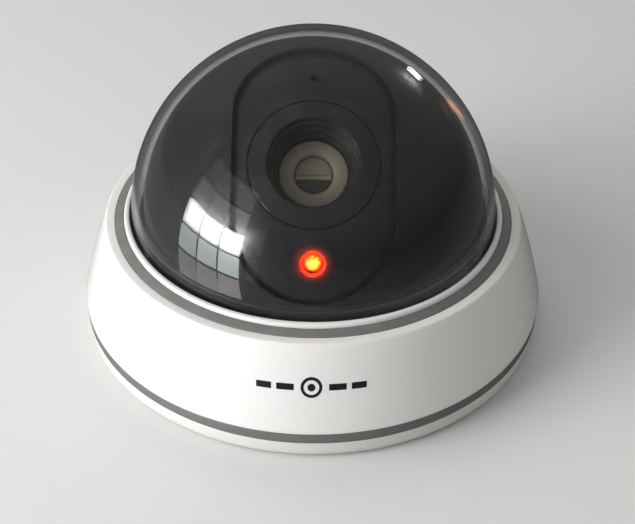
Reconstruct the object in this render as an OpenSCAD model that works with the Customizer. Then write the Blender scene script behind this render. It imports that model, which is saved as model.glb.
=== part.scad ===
// Battery powered dome camera for a ceiling or a wall, in millimetres.
// The mounting face is at z = 0 and the dome points up. The lens looks towards -Y.

/* [Cover] */
// Diameter of the cover at its lower edge, the widest place
cover_d = 125; // [124.8:0.1:125.6]
// Wall of the cover
cover_wall = 2.2; // [2:0.1:2.3]
// Height of the shoulder around the dome
shoulder_z = 31; // [30.8:0.1:31.2]

/* [Dome] */
// Outer radius of the clear dome
dome_r = 48.4; // [48.2:0.1:48.5]
// Wall of the clear dome
dome_wall = 1.8; // [1.4:0.1:1.8]
// Height of the centre that the dome, the liner and the tilt axis share
ball_z = 31.5; // [31.4:0.1:31.8]

/* [Liner and shutter] */
// Outer radius of the black liner
liner_r = 45.2; // [45.1:0.1:45.4]
// Half width of the slot in the liner
slot_half = 19.4; // [19:0.1:19.6]
// Outer radius of the shutter band that turns behind the slot
shutter_r = 43.8; // [43.6:0.1:43.8]
// Width of the shutter band
shutter_w = 45; // [44:0.5:45]

/* [Turret and lamp] */
// Angle of the lens above the horizon at rest
turret_el = 49.3; // [48:0.1:50]
// Radius of the round turret
turret_r = 15.5; // [15:0.1:15.5]
// Radius of the milky lens
lens_r = 8.5; // [8:0.1:8.5]
// Distance of the lens face from the ball centre
lens_p = 32.5; // [32:0.1:33]
// Angle of the lamp above the horizon at rest
lamp_el = 17.4; // [16.8:0.1:18]

/* [Mounting] */
// Bolt circle of the holes in the mounting plate
mount_pcd = 80; // [78:1:82]
// Diameter of each hole in the mounting plate
mount_hole_d = 4.4; // [4:0.1:5]
// Thickness of the mounting plate
plate_t = 2.6; // [2.2:0.1:2.6]

/* [Power] */
// Diameter of one AA cell
cell_d = 14.5; // [14:0.1:14.5]
// Length of one AA cell over its button
cell_l = 50.5; // [49.5:0.1:50.5]

/* [Hidden] */

cut = 0.5;      // how far a cutting shape runs past the face it cuts
run_gap = 0.06; // radial clearance of a shaft that turns in its bore
seat_gap = 0.05; // gap between neighbours that are fixed together
round_fn = 96;
small_fn = 32;

// Stack of rings, from the mounting face up
plate_r = cover_d / 2 - 0.1;
plate_top = 5.26;
band_top = 8.35;
spigot = [56.2, 57.8, 13.6]; // inner radius, outer radius, top
lug = [56.6, 9.0, 11.6];     // inner radius, bottom, top
lug_half = 3;                // half of a lug's angle
lug_angles = [60, 180, 300];
lock_angle = 15;
collar = [48.9, 50.4, 26.8]; // inner radius, outer radius above the groove, lower end
groove = [52.9, 29.8];       // outer radius and floor of the groove for the upper ring
roof_under = 28.2;

// Frame inside the cover
flange = [55.5, 20, 22];  // outer radius, bottom, top
seat = [47.0, 50.9, 24];  // ring that carries the dome's flange
moat = [36.7, 44.2, 9.5]; // free space for the shutter's tail: inner radius, outer radius, floor
bay_r = 34.9;
frame_wall = 1.8;
frame_low = 8;
post = [3, 6, 27.4];      // bore, outer radius, top
frame_screw_r = 53.7;
frame_screw_angles = [45, 135, 225, 315];

// Dome
dome_flange_t = 1.8;
seal_t = 1;

// Head that pans and tilts
deck_top = 22;
table = [43.4, 22.4, 24.9]; // radius, bottom, top
notch = [23.6, 33.8];       // half width and depth limit of the notch in front
arm_x = [24.6, 27.6];
arm_half = 5;
trunnion = [0.9, 2.0, 27.9]; // bore, radius, end
cheek_x = [20.5, shutter_w / 2];
shutter_in = shutter_r - 1.4;
shutter_range = [-17, 108];
slot_ends = [29.9, 69.3];
liner_in = liner_r - 1.1;
liner_low = 22.6;
liner_screw_angles = [90, 205, 335];
liner_screw_z = 26.8;
turret_gap = 0.3;
turret_flange = [18.2, 36.4, 37.9]; // radius, back, front
turret_screw_r = 16.9;
tube_back = 16;
lamp_board_p = [37.3, 38.5]; // back and front of the lamp's board, from the ball centre

// Battery bay, below the deck
bay_roof = flange[1];
tray_roof = [17.7, 18.7];
tray = [27.0, 15.0, 1.2];  // half length and half width inside, wall
cell_y = 7.6;
cell_z = tray_roof[0] - cell_d / 2 - 0.1;
plate_x = 26.6;
ear_x = 31.4;
board = [26, 13, 1.6];
board_pos = [0, 24.5, 15.4];
board_screw_at = [10, 28.4];
switch_y = -21;
switch_box = [13, 6.5, 4.5];
switch_low = 14.5;
knob_travel = 3.2;
lead_r = 0.55;
twin_r = 0.5;

// ---------------------------------------------------------------- helpers

// Point of a quadratic curve from a to c with control point b.
function bend(a, b, c, t) = (1 - t) * (1 - t) * a + 2 * t * (1 - t) * b + t * t * c;

// Point of a circle arc in the plane of a profile.
function arc_point(centre, r, angle) = centre + r * [cos(angle), sin(angle)];

function span(middle, half) = [middle - half, middle + half];

module ring(r_in, r_out, z_low, z_high, fn = round_fn) {
    translate([0, 0, z_low])
        difference() {
            cylinder(r = r_out, h = z_high - z_low, $fn = fn);
            translate([0, 0, -cut])
                cylinder(r = r_in, h = z_high - z_low + 2 * cut, $fn = fn);
        }
}

module post_at(x, y, r, z_low, z_high) {
    translate([x, y, z_low])
        cylinder(r = r, h = z_high - z_low, $fn = small_fn);
}

module block(x, y, z) {
    translate([x[0], y[0], z[0]])
        cube([x[1] - x[0], y[1] - y[0], z[1] - z[0]]);
}

module around(angles, r = 0) {
    for (angle = angles)
        rotate([0, 0, angle])
            translate([r, 0, 0])
                children();
}

// Children drawn from the ball centre.
module at_ball() {
    translate([0, 0, ball_z])
        children();
}

// Children whose +Z runs from the ball centre, el degrees above the front horizon.
module along(el) {
    at_ball()
        rotate([90 - el, 0, 0])
            children();
}

// Sector about the tilt axis between two elevations, 2 * half wide.
module sector(low, high, half) {
    steps = ceil((high - low) / 25);
    at_ball()
        rotate([90, 0, 90])
            linear_extrude(height = 2 * half, center = true)
                polygon(concat([[0, 0]], [
                    for (i = [0:steps])
                        let (el = low + (high - low) * i / steps)
                            70 * [-cos(el), sin(el)]
                ]));
}

module ball_shell(r_out, r_in) {
    at_ball()
        difference() {
            sphere(r = r_out, $fn = round_fn);
            sphere(r = r_in, $fn = round_fn);
        }
}

// Screw whose head's underside is at the origin and whose shank points to +Z.
module screw(shank_r, shank_l, head_r, head_h) {
    cylinder(r = shank_r, h = shank_l, $fn = small_fn);
    difference() {
        translate([0, 0, -head_h])
            cylinder(r = head_r, h = head_h, $fn = small_fn);
        for (turn = [0, 90])
            rotate([0, 0, turn])
                translate([-head_r * 0.62, -head_r * 0.13, -head_h - cut])
                    cube([head_r * 1.24, head_r * 0.26, head_h * 0.5 + cut]);
    }
}

// Round tube along a list of points.
function unit(v) = v / norm(v);
function tangent(p, i) = unit(p[min(i + 1, len(p) - 1)] - p[max(i - 1, 0)]);
function spline(a, b, c, d, t) = 0.5 * (2 * b + (c - a) * t
    + (2 * a - 5 * b + 4 * c - d) * t * t + (3 * b - a - 3 * c + d) * t * t * t);
// The first and the last stretch stay straight, so that each end is square to its axis.
function smooth(p, n) = concat(
    [p[0]],
    [for (i = [1:len(p) - 3], k = [0:n - 1]) spline(p[i - 1], p[i], p[i + 1], p[i + 2], k / n)],
    [p[len(p) - 2], p[len(p) - 1]]
);
// Frame normals are carried along the route, so that the tube doesn't twist.
function carried(p, i = 0, last = undef) =
    i >= len(p) ? [] :
    let (t = tangent(p, i),
         seed = is_undef(last) ? (abs(t[2]) < 0.9 ? [0, 0, 1] : [1, 0, 0]) : last,
         n = unit(seed - (seed * t) * t))
    concat([n], carried(p, i + 1, n));

module tube(points, r, sides = 8) {
    normals = carried(points);
    count = len(points);
    rings = [
        for (i = [0:count - 1], k = [0:sides - 1])
            let (t = tangent(points, i), n = normals[i], b = cross(t, n), a = 360 * k / sides)
                points[i] + r * (cos(a) * n + sin(a) * b)
    ];
    sides_of = [
        for (i = [0:count - 2], k = [0:sides - 1])
            let (j = (k + 1) % sides)
                [i * sides + k, (i + 1) * sides + k, (i + 1) * sides + j, i * sides + j]
    ];
    ends = [
        [for (k = [0:sides - 1]) k],
        [for (k = [0:sides - 1]) count * sides - 1 - k]
    ];
    polyhedron(points = rings, faces = concat(sides_of, ends), convexity = 8);
}

// ---------------------------------------------------------------- mounting plate

module base_plate() {
    round_r = plate_r - 59.8;
    outline = concat(
        [[0, 0]],
        [for (a = [-90:15:0]) [59.8, round_r] + round_r * [cos(a), sin(a)]],
        [[plate_r, plate_top], [spigot[1], plate_top], [spigot[1], spigot[2]],
         [spigot[0], spigot[2]], [spigot[0], plate_t], [0, plate_t]]
    );
    color("ivory")
        difference() {
            union() {
                rotate_extrude($fn = round_fn)
                    polygon(outline);
                around([30, 150, 270], mount_pcd / 2)
                    cylinder(r = mount_hole_d, h = plate_t + 1.4, $fn = small_fn);
                for (x = [-1, 1])
                    block([x * 30 - 1, x * 30 + 1], [-34, 34], [plate_t - cut, plate_t + 0.3]);
            }
            around([30, 150, 270], mount_pcd / 2)
                translate([0, 0, -cut])
                    cylinder(d = mount_hole_d, h = plate_t + 1.4 + 2 * cut, $fn = small_fn);
            around(lug_angles)
                bayonet_slot();
        }
}

// Way in for a lug, open at the top, and the level run that it locks in.
module bayonet_slot() {
    side = lug_half + 1;
    ring_piece(-side, side, lug[1] - 0.3, spigot[2] + cut);
    ring_piece(-side, lock_angle + side, lug[1] - 0.3, lug[2] + 0.3);
}

module ring_piece(from, to, z_low, z_high) {
    rotate([0, 0, from])
        rotate_extrude(angle = to - from, $fn = round_fn)
            translate([spigot[0] - cut, z_low])
                square([spigot[1] - spigot[0] + 2 * cut, z_high - z_low]);
}

module lower_trim_ring() {
    color("dimgray")
        ring(60, plate_r, plate_top, band_top);
}

// ---------------------------------------------------------------- cover and dome

module cover_shell() {
    wall_top = [55.3, shoulder_z];
    wall_mid = [58.46, 24.14];
    wall_low = [cover_d / 2, band_top];
    inside_low = wall_low - [cover_wall, 0];
    inside_mid = wall_mid - [cover_wall + 0.2, 1];
    inside_top = [53.2, roof_under];
    outline = concat(
        [inside_low, wall_low],
        [for (i = [1:12]) bend(wall_low, wall_mid, wall_top, i / 12.6)],
        [[54.7, shoulder_z], [groove[0], shoulder_z], groove, [collar[1], groove[1]],
         [collar[1], shoulder_z + 0.9], [50.1, shoulder_z + 1.5],
         [49.5, shoulder_z + 1.8], [collar[0], shoulder_z + 1.8],
         [collar[0], collar[2]], [51.2, collar[2]], [51.2, roof_under]],
        [for (i = [0:8]) bend(inside_top, inside_mid, inside_low, i / 9)]
    );
    color("white")
        difference() {
            union() {
                rotate_extrude($fn = round_fn)
                    polygon(outline);
                around(frame_screw_angles, frame_screw_r)
                    translate([0, 0, flange[2]])
                        cylinder(r = 2.4, h = roof_under + 0.2 - flange[2], $fn = small_fn);
                around([for (a = lug_angles) a - lug_half])
                    rotate_extrude(angle = 2 * lug_half, $fn = round_fn)
                        translate([lug[0], lug[1]])
                            square([60.6 - lug[0], lug[2] - lug[1]]);
            }
            around(frame_screw_angles, frame_screw_r)
                translate([0, 0, flange[2] - cut])
                    cylinder(r = 1.3 + seat_gap, h = 5.5 + cut, $fn = small_fn);
        }
}

module upper_trim_ring() {
    r_in = collar[1] + seat_gap;
    r_out = groove[0] - seat_gap;
    color("dimgray")
        rotate_extrude($fn = round_fn)
            polygon([[r_in, groove[1]], [r_out, groove[1]], [r_out, shoulder_z],
                     [r_in, shoulder_z + 0.9]]);
}

module clear_dome() {
    r_in = dome_r - dome_wall;
    low = seat[2];
    outline = concat(
        [for (a = [90:-3:0]) arc_point([0, ball_z], dome_r, a)],
        [[dome_r, low + dome_flange_t], [seat[1], low + dome_flange_t], [seat[1], low], [r_in, low]],
        [for (a = [0:3:90]) arc_point([0, ball_z], r_in, a)]
    );
    color([0.85, 0.9, 0.92, 0.25])
        rotate_extrude($fn = round_fn)
            polygon(outline);
}

module dome_seal() {
    low = seat[2] + dome_flange_t;
    color("black")
        ring(collar[0] + 0.1, seat[1] - 0.1, low, low + seal_t);
}

// ---------------------------------------------------------------- frame

module chassis() {
    outline = [
        [post[0], bay_roof], [bay_r, bay_roof], [bay_r, frame_low],
        [moat[1] + frame_wall, frame_low], [moat[1] + frame_wall, flange[1]],
        [flange[0], flange[1]], [flange[0], flange[2]], [seat[1], flange[2]],
        [seat[1], seat[2]], [seat[0], seat[2]], [seat[0], flange[2]], [moat[1], flange[2]],
        [moat[1], moat[2]], [moat[0], moat[2]], [moat[0], deck_top], [post[1], deck_top],
        [post[1], 25.9], [5.2, 25.9], [5.2, 26.7], [post[1], 26.7], [5.7, post[2]],
        [post[0], post[2]]
    ];
    color("gainsboro")
        difference() {
            union() {
                rotate_extrude($fn = round_fn)
                    polygon(outline);
                for (x = [-1, 1]) {
                    post_at(x * ear_x, 0, 2.4, tray_roof[1], bay_roof + cut);
                    post_at(x * board_screw_at[0], board_screw_at[1], 2.2,
                        board_pos[2] + board[2], bay_roof + cut);
                }
                around([0:60:300], 0)
                    block([moat[1] + frame_wall - cut, flange[0] - 1.4], [-0.7, 0.7],
                        [flange[1] - 5, flange[1] + cut]);
            }
            around(frame_screw_angles, frame_screw_r)
                translate([0, 0, flange[1] - cut])
                    cylinder(r = 1.5, h = flange[2] - flange[1] + 2 * cut, $fn = small_fn);
            for (x = [-1, 1]) {
                post_at(x * ear_x, 0, 1 + seat_gap, tray_roof[1] - cut, deck_top - 0.4);
                post_at(x * board_screw_at[0], board_screw_at[1], 0.9 + seat_gap,
                    board_pos[2], deck_top - 0.4);
                post_at(x * 8.4, switch_y, 0.9 + seat_gap, bay_roof - cut, deck_top - 0.4);
            }
        }
}

module chassis_screws() {
    color("silver")
        around(frame_screw_angles, frame_screw_r)
            translate([0, 0, flange[1]])
                screw(1.3, 7, 2.3, 1.6);
}

module pan_washer() {
    color("black")
        ring(post[1] + seat_gap, 9.6, table[2] + seat_gap, 25.8, small_fn * 2);
}

module pan_circlip() {
    color("silver")
        difference() {
            ring(5.2 + seat_gap, 7.9, 25.95, 26.65, small_fn * 2);
            block([5, 9], [-1.6, 1.6], [25, 28]);
        }
}

// ---------------------------------------------------------------- power

module battery_tray() {
    half_l = tray[0] + tray[2];
    half_w = tray[1] + tray[2];
    color("gray")
        difference() {
            union() {
                block([-half_l, half_l], [-half_w, half_w], [4.2, tray_roof[1]]);
                for (x = [-1, 1]) {
                    post_at(x * ear_x, 0, 2.4, tray_roof[0], tray_roof[1]);
                    block(x > 0 ? [half_l - cut, ear_x] : [-ear_x, -half_l + cut], [-2.4, 2.4],
                        tray_roof);
                }
            }
            block([-tray[0], tray[0]], [-tray[1], tray[1]], [0, tray_roof[0]]);
            block([-15, 15], [-half_w - cut, half_w + cut], [0, 11]);
            for (x = [-1, 1])
                post_at(x * ear_x, 0, 1.2, tray_roof[0] - cut, tray_roof[1] + cut);
            for (y = [-cell_y, cell_y])
                translate([tray[0] - cut, y, 14.5])
                    rotate([0, 90, 0])
                        cylinder(r = 0.9, h = tray[2] + 2 * cut, $fn = small_fn);
        }
}

module tray_screws() {
    color("silver")
        for (x = [-ear_x, ear_x])
            translate([x, 0, tray_roof[0]])
                screw(1, 3.6, 2, 1.4);
}

// Cell with its button towards +X, its middle at the origin.
module cell() {
    body_l = cell_l - 1;
    rotate([0, 90, 0]) {
        translate([0, 0, -cell_l / 2])
            cylinder(d = cell_d, h = body_l, $fn = small_fn * 2);
        translate([0, 0, -cell_l / 2 + body_l - cut])
            cylinder(r = 2.75, h = 1 + cut, $fn = small_fn);
    }
}

module battery_cells() {
    shift = plate_x - seat_gap - cell_l / 2;
    color("darkorange")
        for (side = [-1, 1])
            translate([-side * shift, side * cell_y, cell_z])
                rotate([0, 0, side < 0 ? 0 : 180])
                    cell();
}

module contact_springs() {
    turns = 2.5;
    gap = 2 * plate_x - cell_l - 0.2;
    points = [
        for (i = [0:30])
            let (a = 360 * turns * i / 30, r = 4.6 - 1.8 * i / 30)
                [0.5 + (gap - 0.9) * i / 30, r * cos(a), r * sin(a)]
    ];
    color("silver")
        for (side = [-1, 1])
            translate([side * plate_x, side * cell_y, cell_z])
                rotate([0, 0, side < 0 ? 0 : 180])
                    tube(points, 0.35);
}

// Flat spring plate behind a cell, at the +X end of the tray.
module contact_plates() {
    color("silver")
        for (y = [-cell_y, cell_y])
            block([plate_x, tray[0]], [y - 5, y + 5], [cell_z - 5, tray_roof[0] - seat_gap]);
}

// One plate that joins both cells at the -X end of the tray.
module contact_bridge() {
    color("silver")
        block([-tray[0], -plate_x], [-cell_y - 5, cell_y + 5], [cell_z - 5, tray_roof[0] - seat_gap]);
}

module flasher_board() {
    color("darkgreen")
        difference() {
            translate(board_pos - [board[0] / 2, board[1] / 2, 0])
                cube(board);
            for (x = [-1, 1])
                post_at(x * board_screw_at[0], board_screw_at[1], 1.1,
                    board_pos[2] - cut, board_pos[2] + board[2] + cut);
        }
}

module flasher_chip() {
    color("black")
        block([-4, 4], [board_pos[1] - 2, board_pos[1] + 2], [board_pos[2] - 1.6, board_pos[2]]);
}

module board_capacitor() {
    color("midnightblue")
        post_at(8, 23, 2.5, board_pos[2] - 5.4, board_pos[2]);
}

module board_resistors() {
    color("tan")
        for (x = [-9.6, -6.4])
            translate([x, 22.4, board_pos[2] - 1])
                rotate([90, 0, 0])
                    cylinder(r = 0.9, h = 5, center = true, $fn = small_fn);
}

module board_screws() {
    color("silver")
        for (x = [-1, 1])
            translate([x * board_screw_at[0], board_screw_at[1], board_pos[2]])
                screw(0.9, 5.4, 1.8, 1.2);
}

module switch_frame() {
    color("silver")
        difference() {
            block([-10.4, 10.4], span(switch_y, 3.2), [19.1, 19.6]);
            for (x = [-8.4, 8.4])
                post_at(x, switch_y, 1.1, 18, 21);
        }
    color("silver")
        for (x = [-8.4, 8.4])
            translate([0, 0, 19.6])
                translate([x, switch_y, 0])
                    ring(1.1, 1.9, 0, bay_roof - 19.6, small_fn);
}

module switch_body() {
    color("black")
        difference() {
            block(span(0, switch_box[0] / 2), span(switch_y, switch_box[1] / 2),
                [switch_low, switch_low + switch_box[2]]);
            block([-3.8, 3.8], span(switch_y, 1.7), [switch_low - cut, 16.6]);
        }
}

module switch_screws() {
    color("silver")
        for (x = [-8.4, 8.4])
            translate([x, switch_y, 19.1])
                screw(0.9, 2.3, 1.7, 1.1);
}

module switch_knob() {
    start = -knob_travel / 2;
    color("white")
        difference() {
            block(span(start, 2), span(switch_y, 1.4), [11, 16.3]);
            for (x = [-1.1, 0, 1.1])
                block(span(start + x, 0.25), span(switch_y, 2), [10, 11.4]);
        }
}

// ---------------------------------------------------------------- leads

red_route = [
    [27, -7.6, 14.5], [29.2, -7.6, 14.5], [31.6, -10.5, 14.8], [29.6, -16.4, 15.4],
    [25.4, -20, 16], [18, -21, 16.4], [11, -21, 16.6], [6.5, -21, 16.6]
];
black_route = [
    [27, 7.6, 14.5], [29.2, 7.6, 14.5], [31.6, 10.5, 14.8], [29.6, 16.4, 15.8],
    [25.4, 20, 17.4], [19, 21.2, 18.4], [13.4, 21.6, 18.6], [11.2, 21.6, 18.2], [11.2, 21.6, 17]
];
switch_route = [
    [-6.5, -21, 16.6], [-11, -21, 16.6], [-18, -21, 16.4], [-25.6, -20, 15.8], [-29.4, -16.8, 15],
    [-32.2, -9.6, 14], [-33, -3, 13.2], [-33, 3, 13.2], [-32.2, 9.6, 14.2], [-29.4, 16.8, 15.6],
    [-25.6, 20.2, 17.2], [-19, 21.4, 18.4], [-13.4, 21.6, 18.6], [-11.2, 21.6, 18.2],
    [-11.2, 21.6, 17]
];
lower_route = [
    [5, 20.4, 17], [5, 20.4, 18.2], [4.5, 18.4, 19.3], [2.6, 8, 19.35], [0.8, 2.2, 19.4],
    [0.1, 0.5, 20.4], [0, 0, 22], [0, 0, 25], [0, 0, 27.8]
];
middle_route = [
    [0, 0, 27.8], [0, 0, 28.6], [-1, 0.4, 29.4], [-4, 1.4, 29], [-8, 2.6, 27], [-11.5, 3.6, 25.7],
    [-17, 6, 25.5], [-23, 7.6, 25.5], [-28, 7.8, 26.2], [-30.6, 7.2, 28.4], [-31.2, 4.6, 30.6],
    [-30.6, 1.6, 31.4], [-29.4, 0, 31.5], [-28.2, 0, 31.5]
];
lamp_axis = [0, -cos(lamp_el), sin(lamp_el)];
lamp_pad = [-2, 0, ball_z] + lamp_board_p[0] * lamp_axis;
upper_route = [
    [-28.2, 0, 31.5], [-24, 0, 31.5], [-19.8, 0, 31.5], [-18, -1.6, 31.8], [-16, -10, 33.6],
    [-10.5, -24, 37.6], [-5, -31, 40.6], lamp_pad - 1.6 * lamp_axis, lamp_pad
];

module lead(route, r, tint) {
    color(tint)
        tube(smooth(route, 3), r);
}

module battery_lead_red() {
    lead(red_route, lead_r, "red");
}

module battery_lead_black() {
    lead(black_route, lead_r, "black");
}

module switch_lead() {
    lead(switch_route, lead_r, "red");
}

module lamp_lead_lower() {
    lead(lower_route, twin_r, "dimgray");
}

module lamp_lead_middle() {
    lead(middle_route, twin_r, "dimgray");
}

module lamp_lead_upper() {
    lead(upper_route, twin_r, "dimgray");
}

// ---------------------------------------------------------------- panning head

module turntable() {
    color("darkslategray")
        difference() {
            union() {
                ring(post[1] + run_gap, table[0], table[1], table[2]);
                ring(post[1] + run_gap, 10, deck_top, table[1] + cut);
                around(liner_screw_angles)
                    block([38.8, 43.6], [-4, 4], [table[2] - cut, 28.6]);
            }
            block([-notch[0], notch[0]], [-50, -notch[1]], [20, 30]);
            around(liner_screw_angles)
                translate([37, 0, liner_screw_z])
                    rotate([0, 90, 0])
                        cylinder(r = 0.9 + seat_gap, h = 8, $fn = small_fn);
            for (x = [-31.2, 31.2], y = [-3.4, 3.4])
                post_at(x, y, 1.1 + seat_gap, table[1] + 0.4, table[2] + cut);
            for (x = [-1, 1])
                post_at(x * 14, 18, 7, table[1] - cut, table[2] + cut);
        }
}

// Arm that carries the trunnion at +X.
module arm() {
    difference() {
        union() {
            block(arm_x, [-arm_half, arm_half], [table[2], ball_z]);
            block([arm_x[0], 34.6], [-6, 6], [table[2], table[2] + 2]);
            translate([arm_x[0], 0, ball_z])
                rotate([0, 90, 0])
                    cylinder(r = arm_half, h = arm_x[1] - arm_x[0], $fn = small_fn * 2);
        }
        translate([arm_x[0] - cut, 0, ball_z])
            rotate([0, 90, 0])
                cylinder(r = trunnion[1] + run_gap, h = 4, $fn = small_fn * 2);
        for (y = [-3.4, 3.4])
            post_at(31.2, y, 1.3, table[2] - cut, table[2] + 2 + cut);
    }
}

module yoke_right() {
    color("slategray")
        arm();
}

module yoke_left() {
    color("slategray")
        rotate([0, 0, 180])
            arm();
}

module yoke_screws() {
    color("silver")
        for (x = [-31.2, 31.2], y = [-3.4, 3.4])
            translate([x, y, table[2] + 2])
                mirror([0, 0, 1])
                    screw(1.1, 3.8, 2, 1.3);
}

module tilt_washers() {
    color("black")
        for (turn = [0, 180])
            rotate([0, 0, turn])
                translate([cheek_x[1] + 0.2, 0, ball_z])
                    rotate([0, 90, 0])
                        ring(trunnion[1] + 0.1, 4.4, 0, arm_x[0] - cheek_x[1] - 0.2, small_fn * 2);
}

module liner() {
    color([0.12, 0.13, 0.13])
        difference() {
            union() {
                intersection() {
                    ball_shell(liner_r, liner_in);
                    block([-60, 60], [-60, 60], [ball_z, 100]);
                }
                ring(liner_in, liner_r, liner_low, ball_z);
            }
            slot_cutter();
            around(liner_screw_angles)
                translate([42, 0, liner_screw_z])
                    rotate([0, 90, 0])
                        cylinder(r = 1.1, h = 5, $fn = small_fn);
        }
}

// Slot with straight sides and round ends, as it is seen from the ball centre.
module slot_cutter() {
    sector(slot_ends[0], slot_ends[1], slot_half - 0.1);
    for (el = slot_ends)
        along(el)
            cylinder(r = slot_half, h = 60, $fn = round_fn);
}

module liner_screws() {
    color("black")
        around(liner_screw_angles)
            translate([liner_r, 0, liner_screw_z])
                rotate([0, -90, 0])
                    screw(0.9, 4.8, 2, 0.9);
}

// ---------------------------------------------------------------- tilting head

module shutter() {
    color([0.13, 0.14, 0.14])
        difference() {
            union() {
                intersection() {
                    ball_shell(shutter_r, shutter_in);
                    sector(shutter_range[0], shutter_range[1], shutter_w / 2);
                }
                for (side = [-1, 1])
                    cheek(side);
                along(turret_el)
                    around([45:90:315], turret_screw_r)
                        translate([0, 0, turret_flange[2]])
                            cylinder(r = 1.3, h = 2, $fn = small_fn);
            }
            along(turret_el)
                cylinder(r = turret_r + turret_gap, h = 60, $fn = round_fn);
            along(turret_el)
                around([45:90:315], turret_screw_r)
                    translate([0, 0, turret_flange[2] - cut])
                        cylinder(r = 0.7 + seat_gap, h = 1.6 + cut, $fn = small_fn);
            along(lamp_el)
                translate([0, 0, lamp_board_p[0] + 1])
                    cylinder(r = 3.3, h = 10, $fn = small_fn);
            along(79.5)
                translate([0, 0, shutter_r - 0.7])
                    cylinder(r = 1.1, h = 2, $fn = small_fn);
            at_ball()
                rotate([0, 90, 0])
                    cylinder(r = trunnion[0], h = 80, center = true, $fn = small_fn);
        }
}

// Side plate from the band to its trunnion.
module cheek(side) {
    turn_x = side > 0 ? 90 : -90;
    difference() {
        intersection() {
            union() {
                sector(14, 100, 30);
                at_ball()
                    rotate([0, 90, 0])
                        cylinder(r = 4.6, h = 60, center = true, $fn = small_fn);
            }
            at_ball()
                sphere(r = shutter_r - 0.7, $fn = round_fn);
            block(side > 0 ? cheek_x : [-cheek_x[1], -cheek_x[0]], [-60, 60], [0, 90]);
        }
        for (el = [34, 57, 80])
            at_ball()
                rotate([-el, 0, 0])
                    translate([0, -25, 0])
                        rotate([0, 90, 0])
                            cylinder(r = 4, h = 80, center = true, $fn = small_fn);
    }
    at_ball()
        rotate([0, turn_x, 0])
            translate([0, 0, cheek_x[1] - 0.2])
                cylinder(r = trunnion[1], h = trunnion[2] - cheek_x[1] + 0.2, $fn = small_fn);
}

module turret() {
    front = [
        for (i = [0:6])
            let (r = 11.2 + (turret_r - 11.2) * i / 6)
                [r, sqrt(shutter_r * shutter_r - r * r)]
    ];
    outline = concat(
        front,
        [[turret_r, turret_flange[2]], [turret_flange[0], turret_flange[2]],
         [turret_flange[0], turret_flange[1]], [10.6, turret_flange[1]], [10.6, 28.6], [7.4, 28.6],
         [7.4, lens_p - 2.4], [lens_r + seat_gap, lens_p - 2.4], [8.7, 35.2], [9.3, 35.2],
         [9.5, 38.0], [10.1, 38.0], [10.3, 40.4], [10.9, 40.4]]
    );
    color([0.1, 0.1, 0.1])
        along(turret_el)
            difference() {
                rotate_extrude($fn = round_fn)
                    polygon(outline);
                around([45:90:315], turret_screw_r)
                    translate([0, 0, turret_flange[1] - cut])
                        cylinder(r = 0.9, h = 3, $fn = small_fn);
            }
}

module turret_screws() {
    color("silver")
        along(turret_el)
            around([45:90:315], turret_screw_r)
                translate([0, 0, turret_flange[1]])
                    screw(0.7, 2.8, 1.25, 0.9);
}

module lens_tube() {
    color([0.2, 0.2, 0.2])
        along(turret_el)
            rotate_extrude($fn = round_fn)
                polygon([[0, tube_back], [9, tube_back], [10.4, tube_back + 1.4], [10.4, 28.5],
                         [8.8, 28.5], [8.8, tube_back + 1.4], [0, tube_back + 1.4]]);
}

module lens_cap() {
    crown = [for (i = [0:6]) let (r = 7.2 * (1 - i / 6)) [r, lens_p + 0.9 * (1 - r * r / 51.84)]];
    color([0.75, 0.7, 0.6])
        along(turret_el)
            rotate_extrude($fn = round_fn)
                polygon(concat([[0, lens_p - 2.3], [lens_r, lens_p - 2.3], [lens_r, lens_p]], crown));
}

module lens_pupil() {
    color([0.25, 0.24, 0.2])
        along(turret_el)
            translate([0, 0, lens_p - 3.7])
                cylinder(r = 4.7, h = 1.4, $fn = round_fn);
}

module lamp() {
    dome_base = shutter_r - 2.6;
    color("red")
        along(lamp_el)
            rotate_extrude($fn = small_fn * 2)
                polygon(concat(
                    [[0, lamp_board_p[1]], [2.9, lamp_board_p[1]], [2.9, lamp_board_p[1] + 1],
                     [2.5, lamp_board_p[1] + 1]],
                    [for (a = [0:15:90]) [2.5 * cos(a), dome_base + 2.5 * sin(a)]]
                ));
}

module lamp_bezel() {
    color("black")
        along(lamp_el)
            difference() {
                ring(2.6, 3.25, lamp_board_p[1] + 1.1, shutter_r - 0.1, small_fn * 2);
                translate([0, 0, shutter_r - 0.7])
                    cylinder(r1 = 2.6, r2 = 3.3, h = 0.8, $fn = small_fn * 2);
            }
}

module lamp_board() {
    color("darkgreen")
        along(lamp_el)
            translate([0, 0, lamp_board_p[0]])
                cylinder(r = 4, h = lamp_board_p[1] - lamp_board_p[0], $fn = small_fn * 2);
}

base_plate();
lower_trim_ring();
cover_shell();
upper_trim_ring();
clear_dome();
dome_seal();
chassis();
chassis_screws();
battery_tray();
tray_screws();
battery_cells();
contact_springs();
contact_plates();
contact_bridge();
flasher_board();
flasher_chip();
board_capacitor();
board_resistors();
board_screws();
switch_frame();
switch_body();
switch_screws();
switch_knob();
battery_lead_red();
battery_lead_black();
switch_lead();
lamp_lead_lower();
pan_washer();
pan_circlip();
turntable();
yoke_left();
yoke_right();
yoke_screws();
tilt_washers();
liner();
liner_screws();
lamp_lead_middle();
shutter();
turret();
turret_screws();
lens_tube();
lens_cap();
lens_pupil();
lamp();
lamp_bezel();
lamp_board();
lamp_lead_upper();
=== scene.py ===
"""Detailed pieces and procedural finishes for a battery dome camera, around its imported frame."""

from __future__ import annotations

import logging
import math
from collections.abc import Callable, Iterable, Sequence
from dataclasses import dataclass
from enum import Enum
from typing import NamedTuple

import bpy
from bpy.types import Material, Node, NodeSocket, NodeTree, Object
from mathutils import Matrix, Quaternion, Vector


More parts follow.
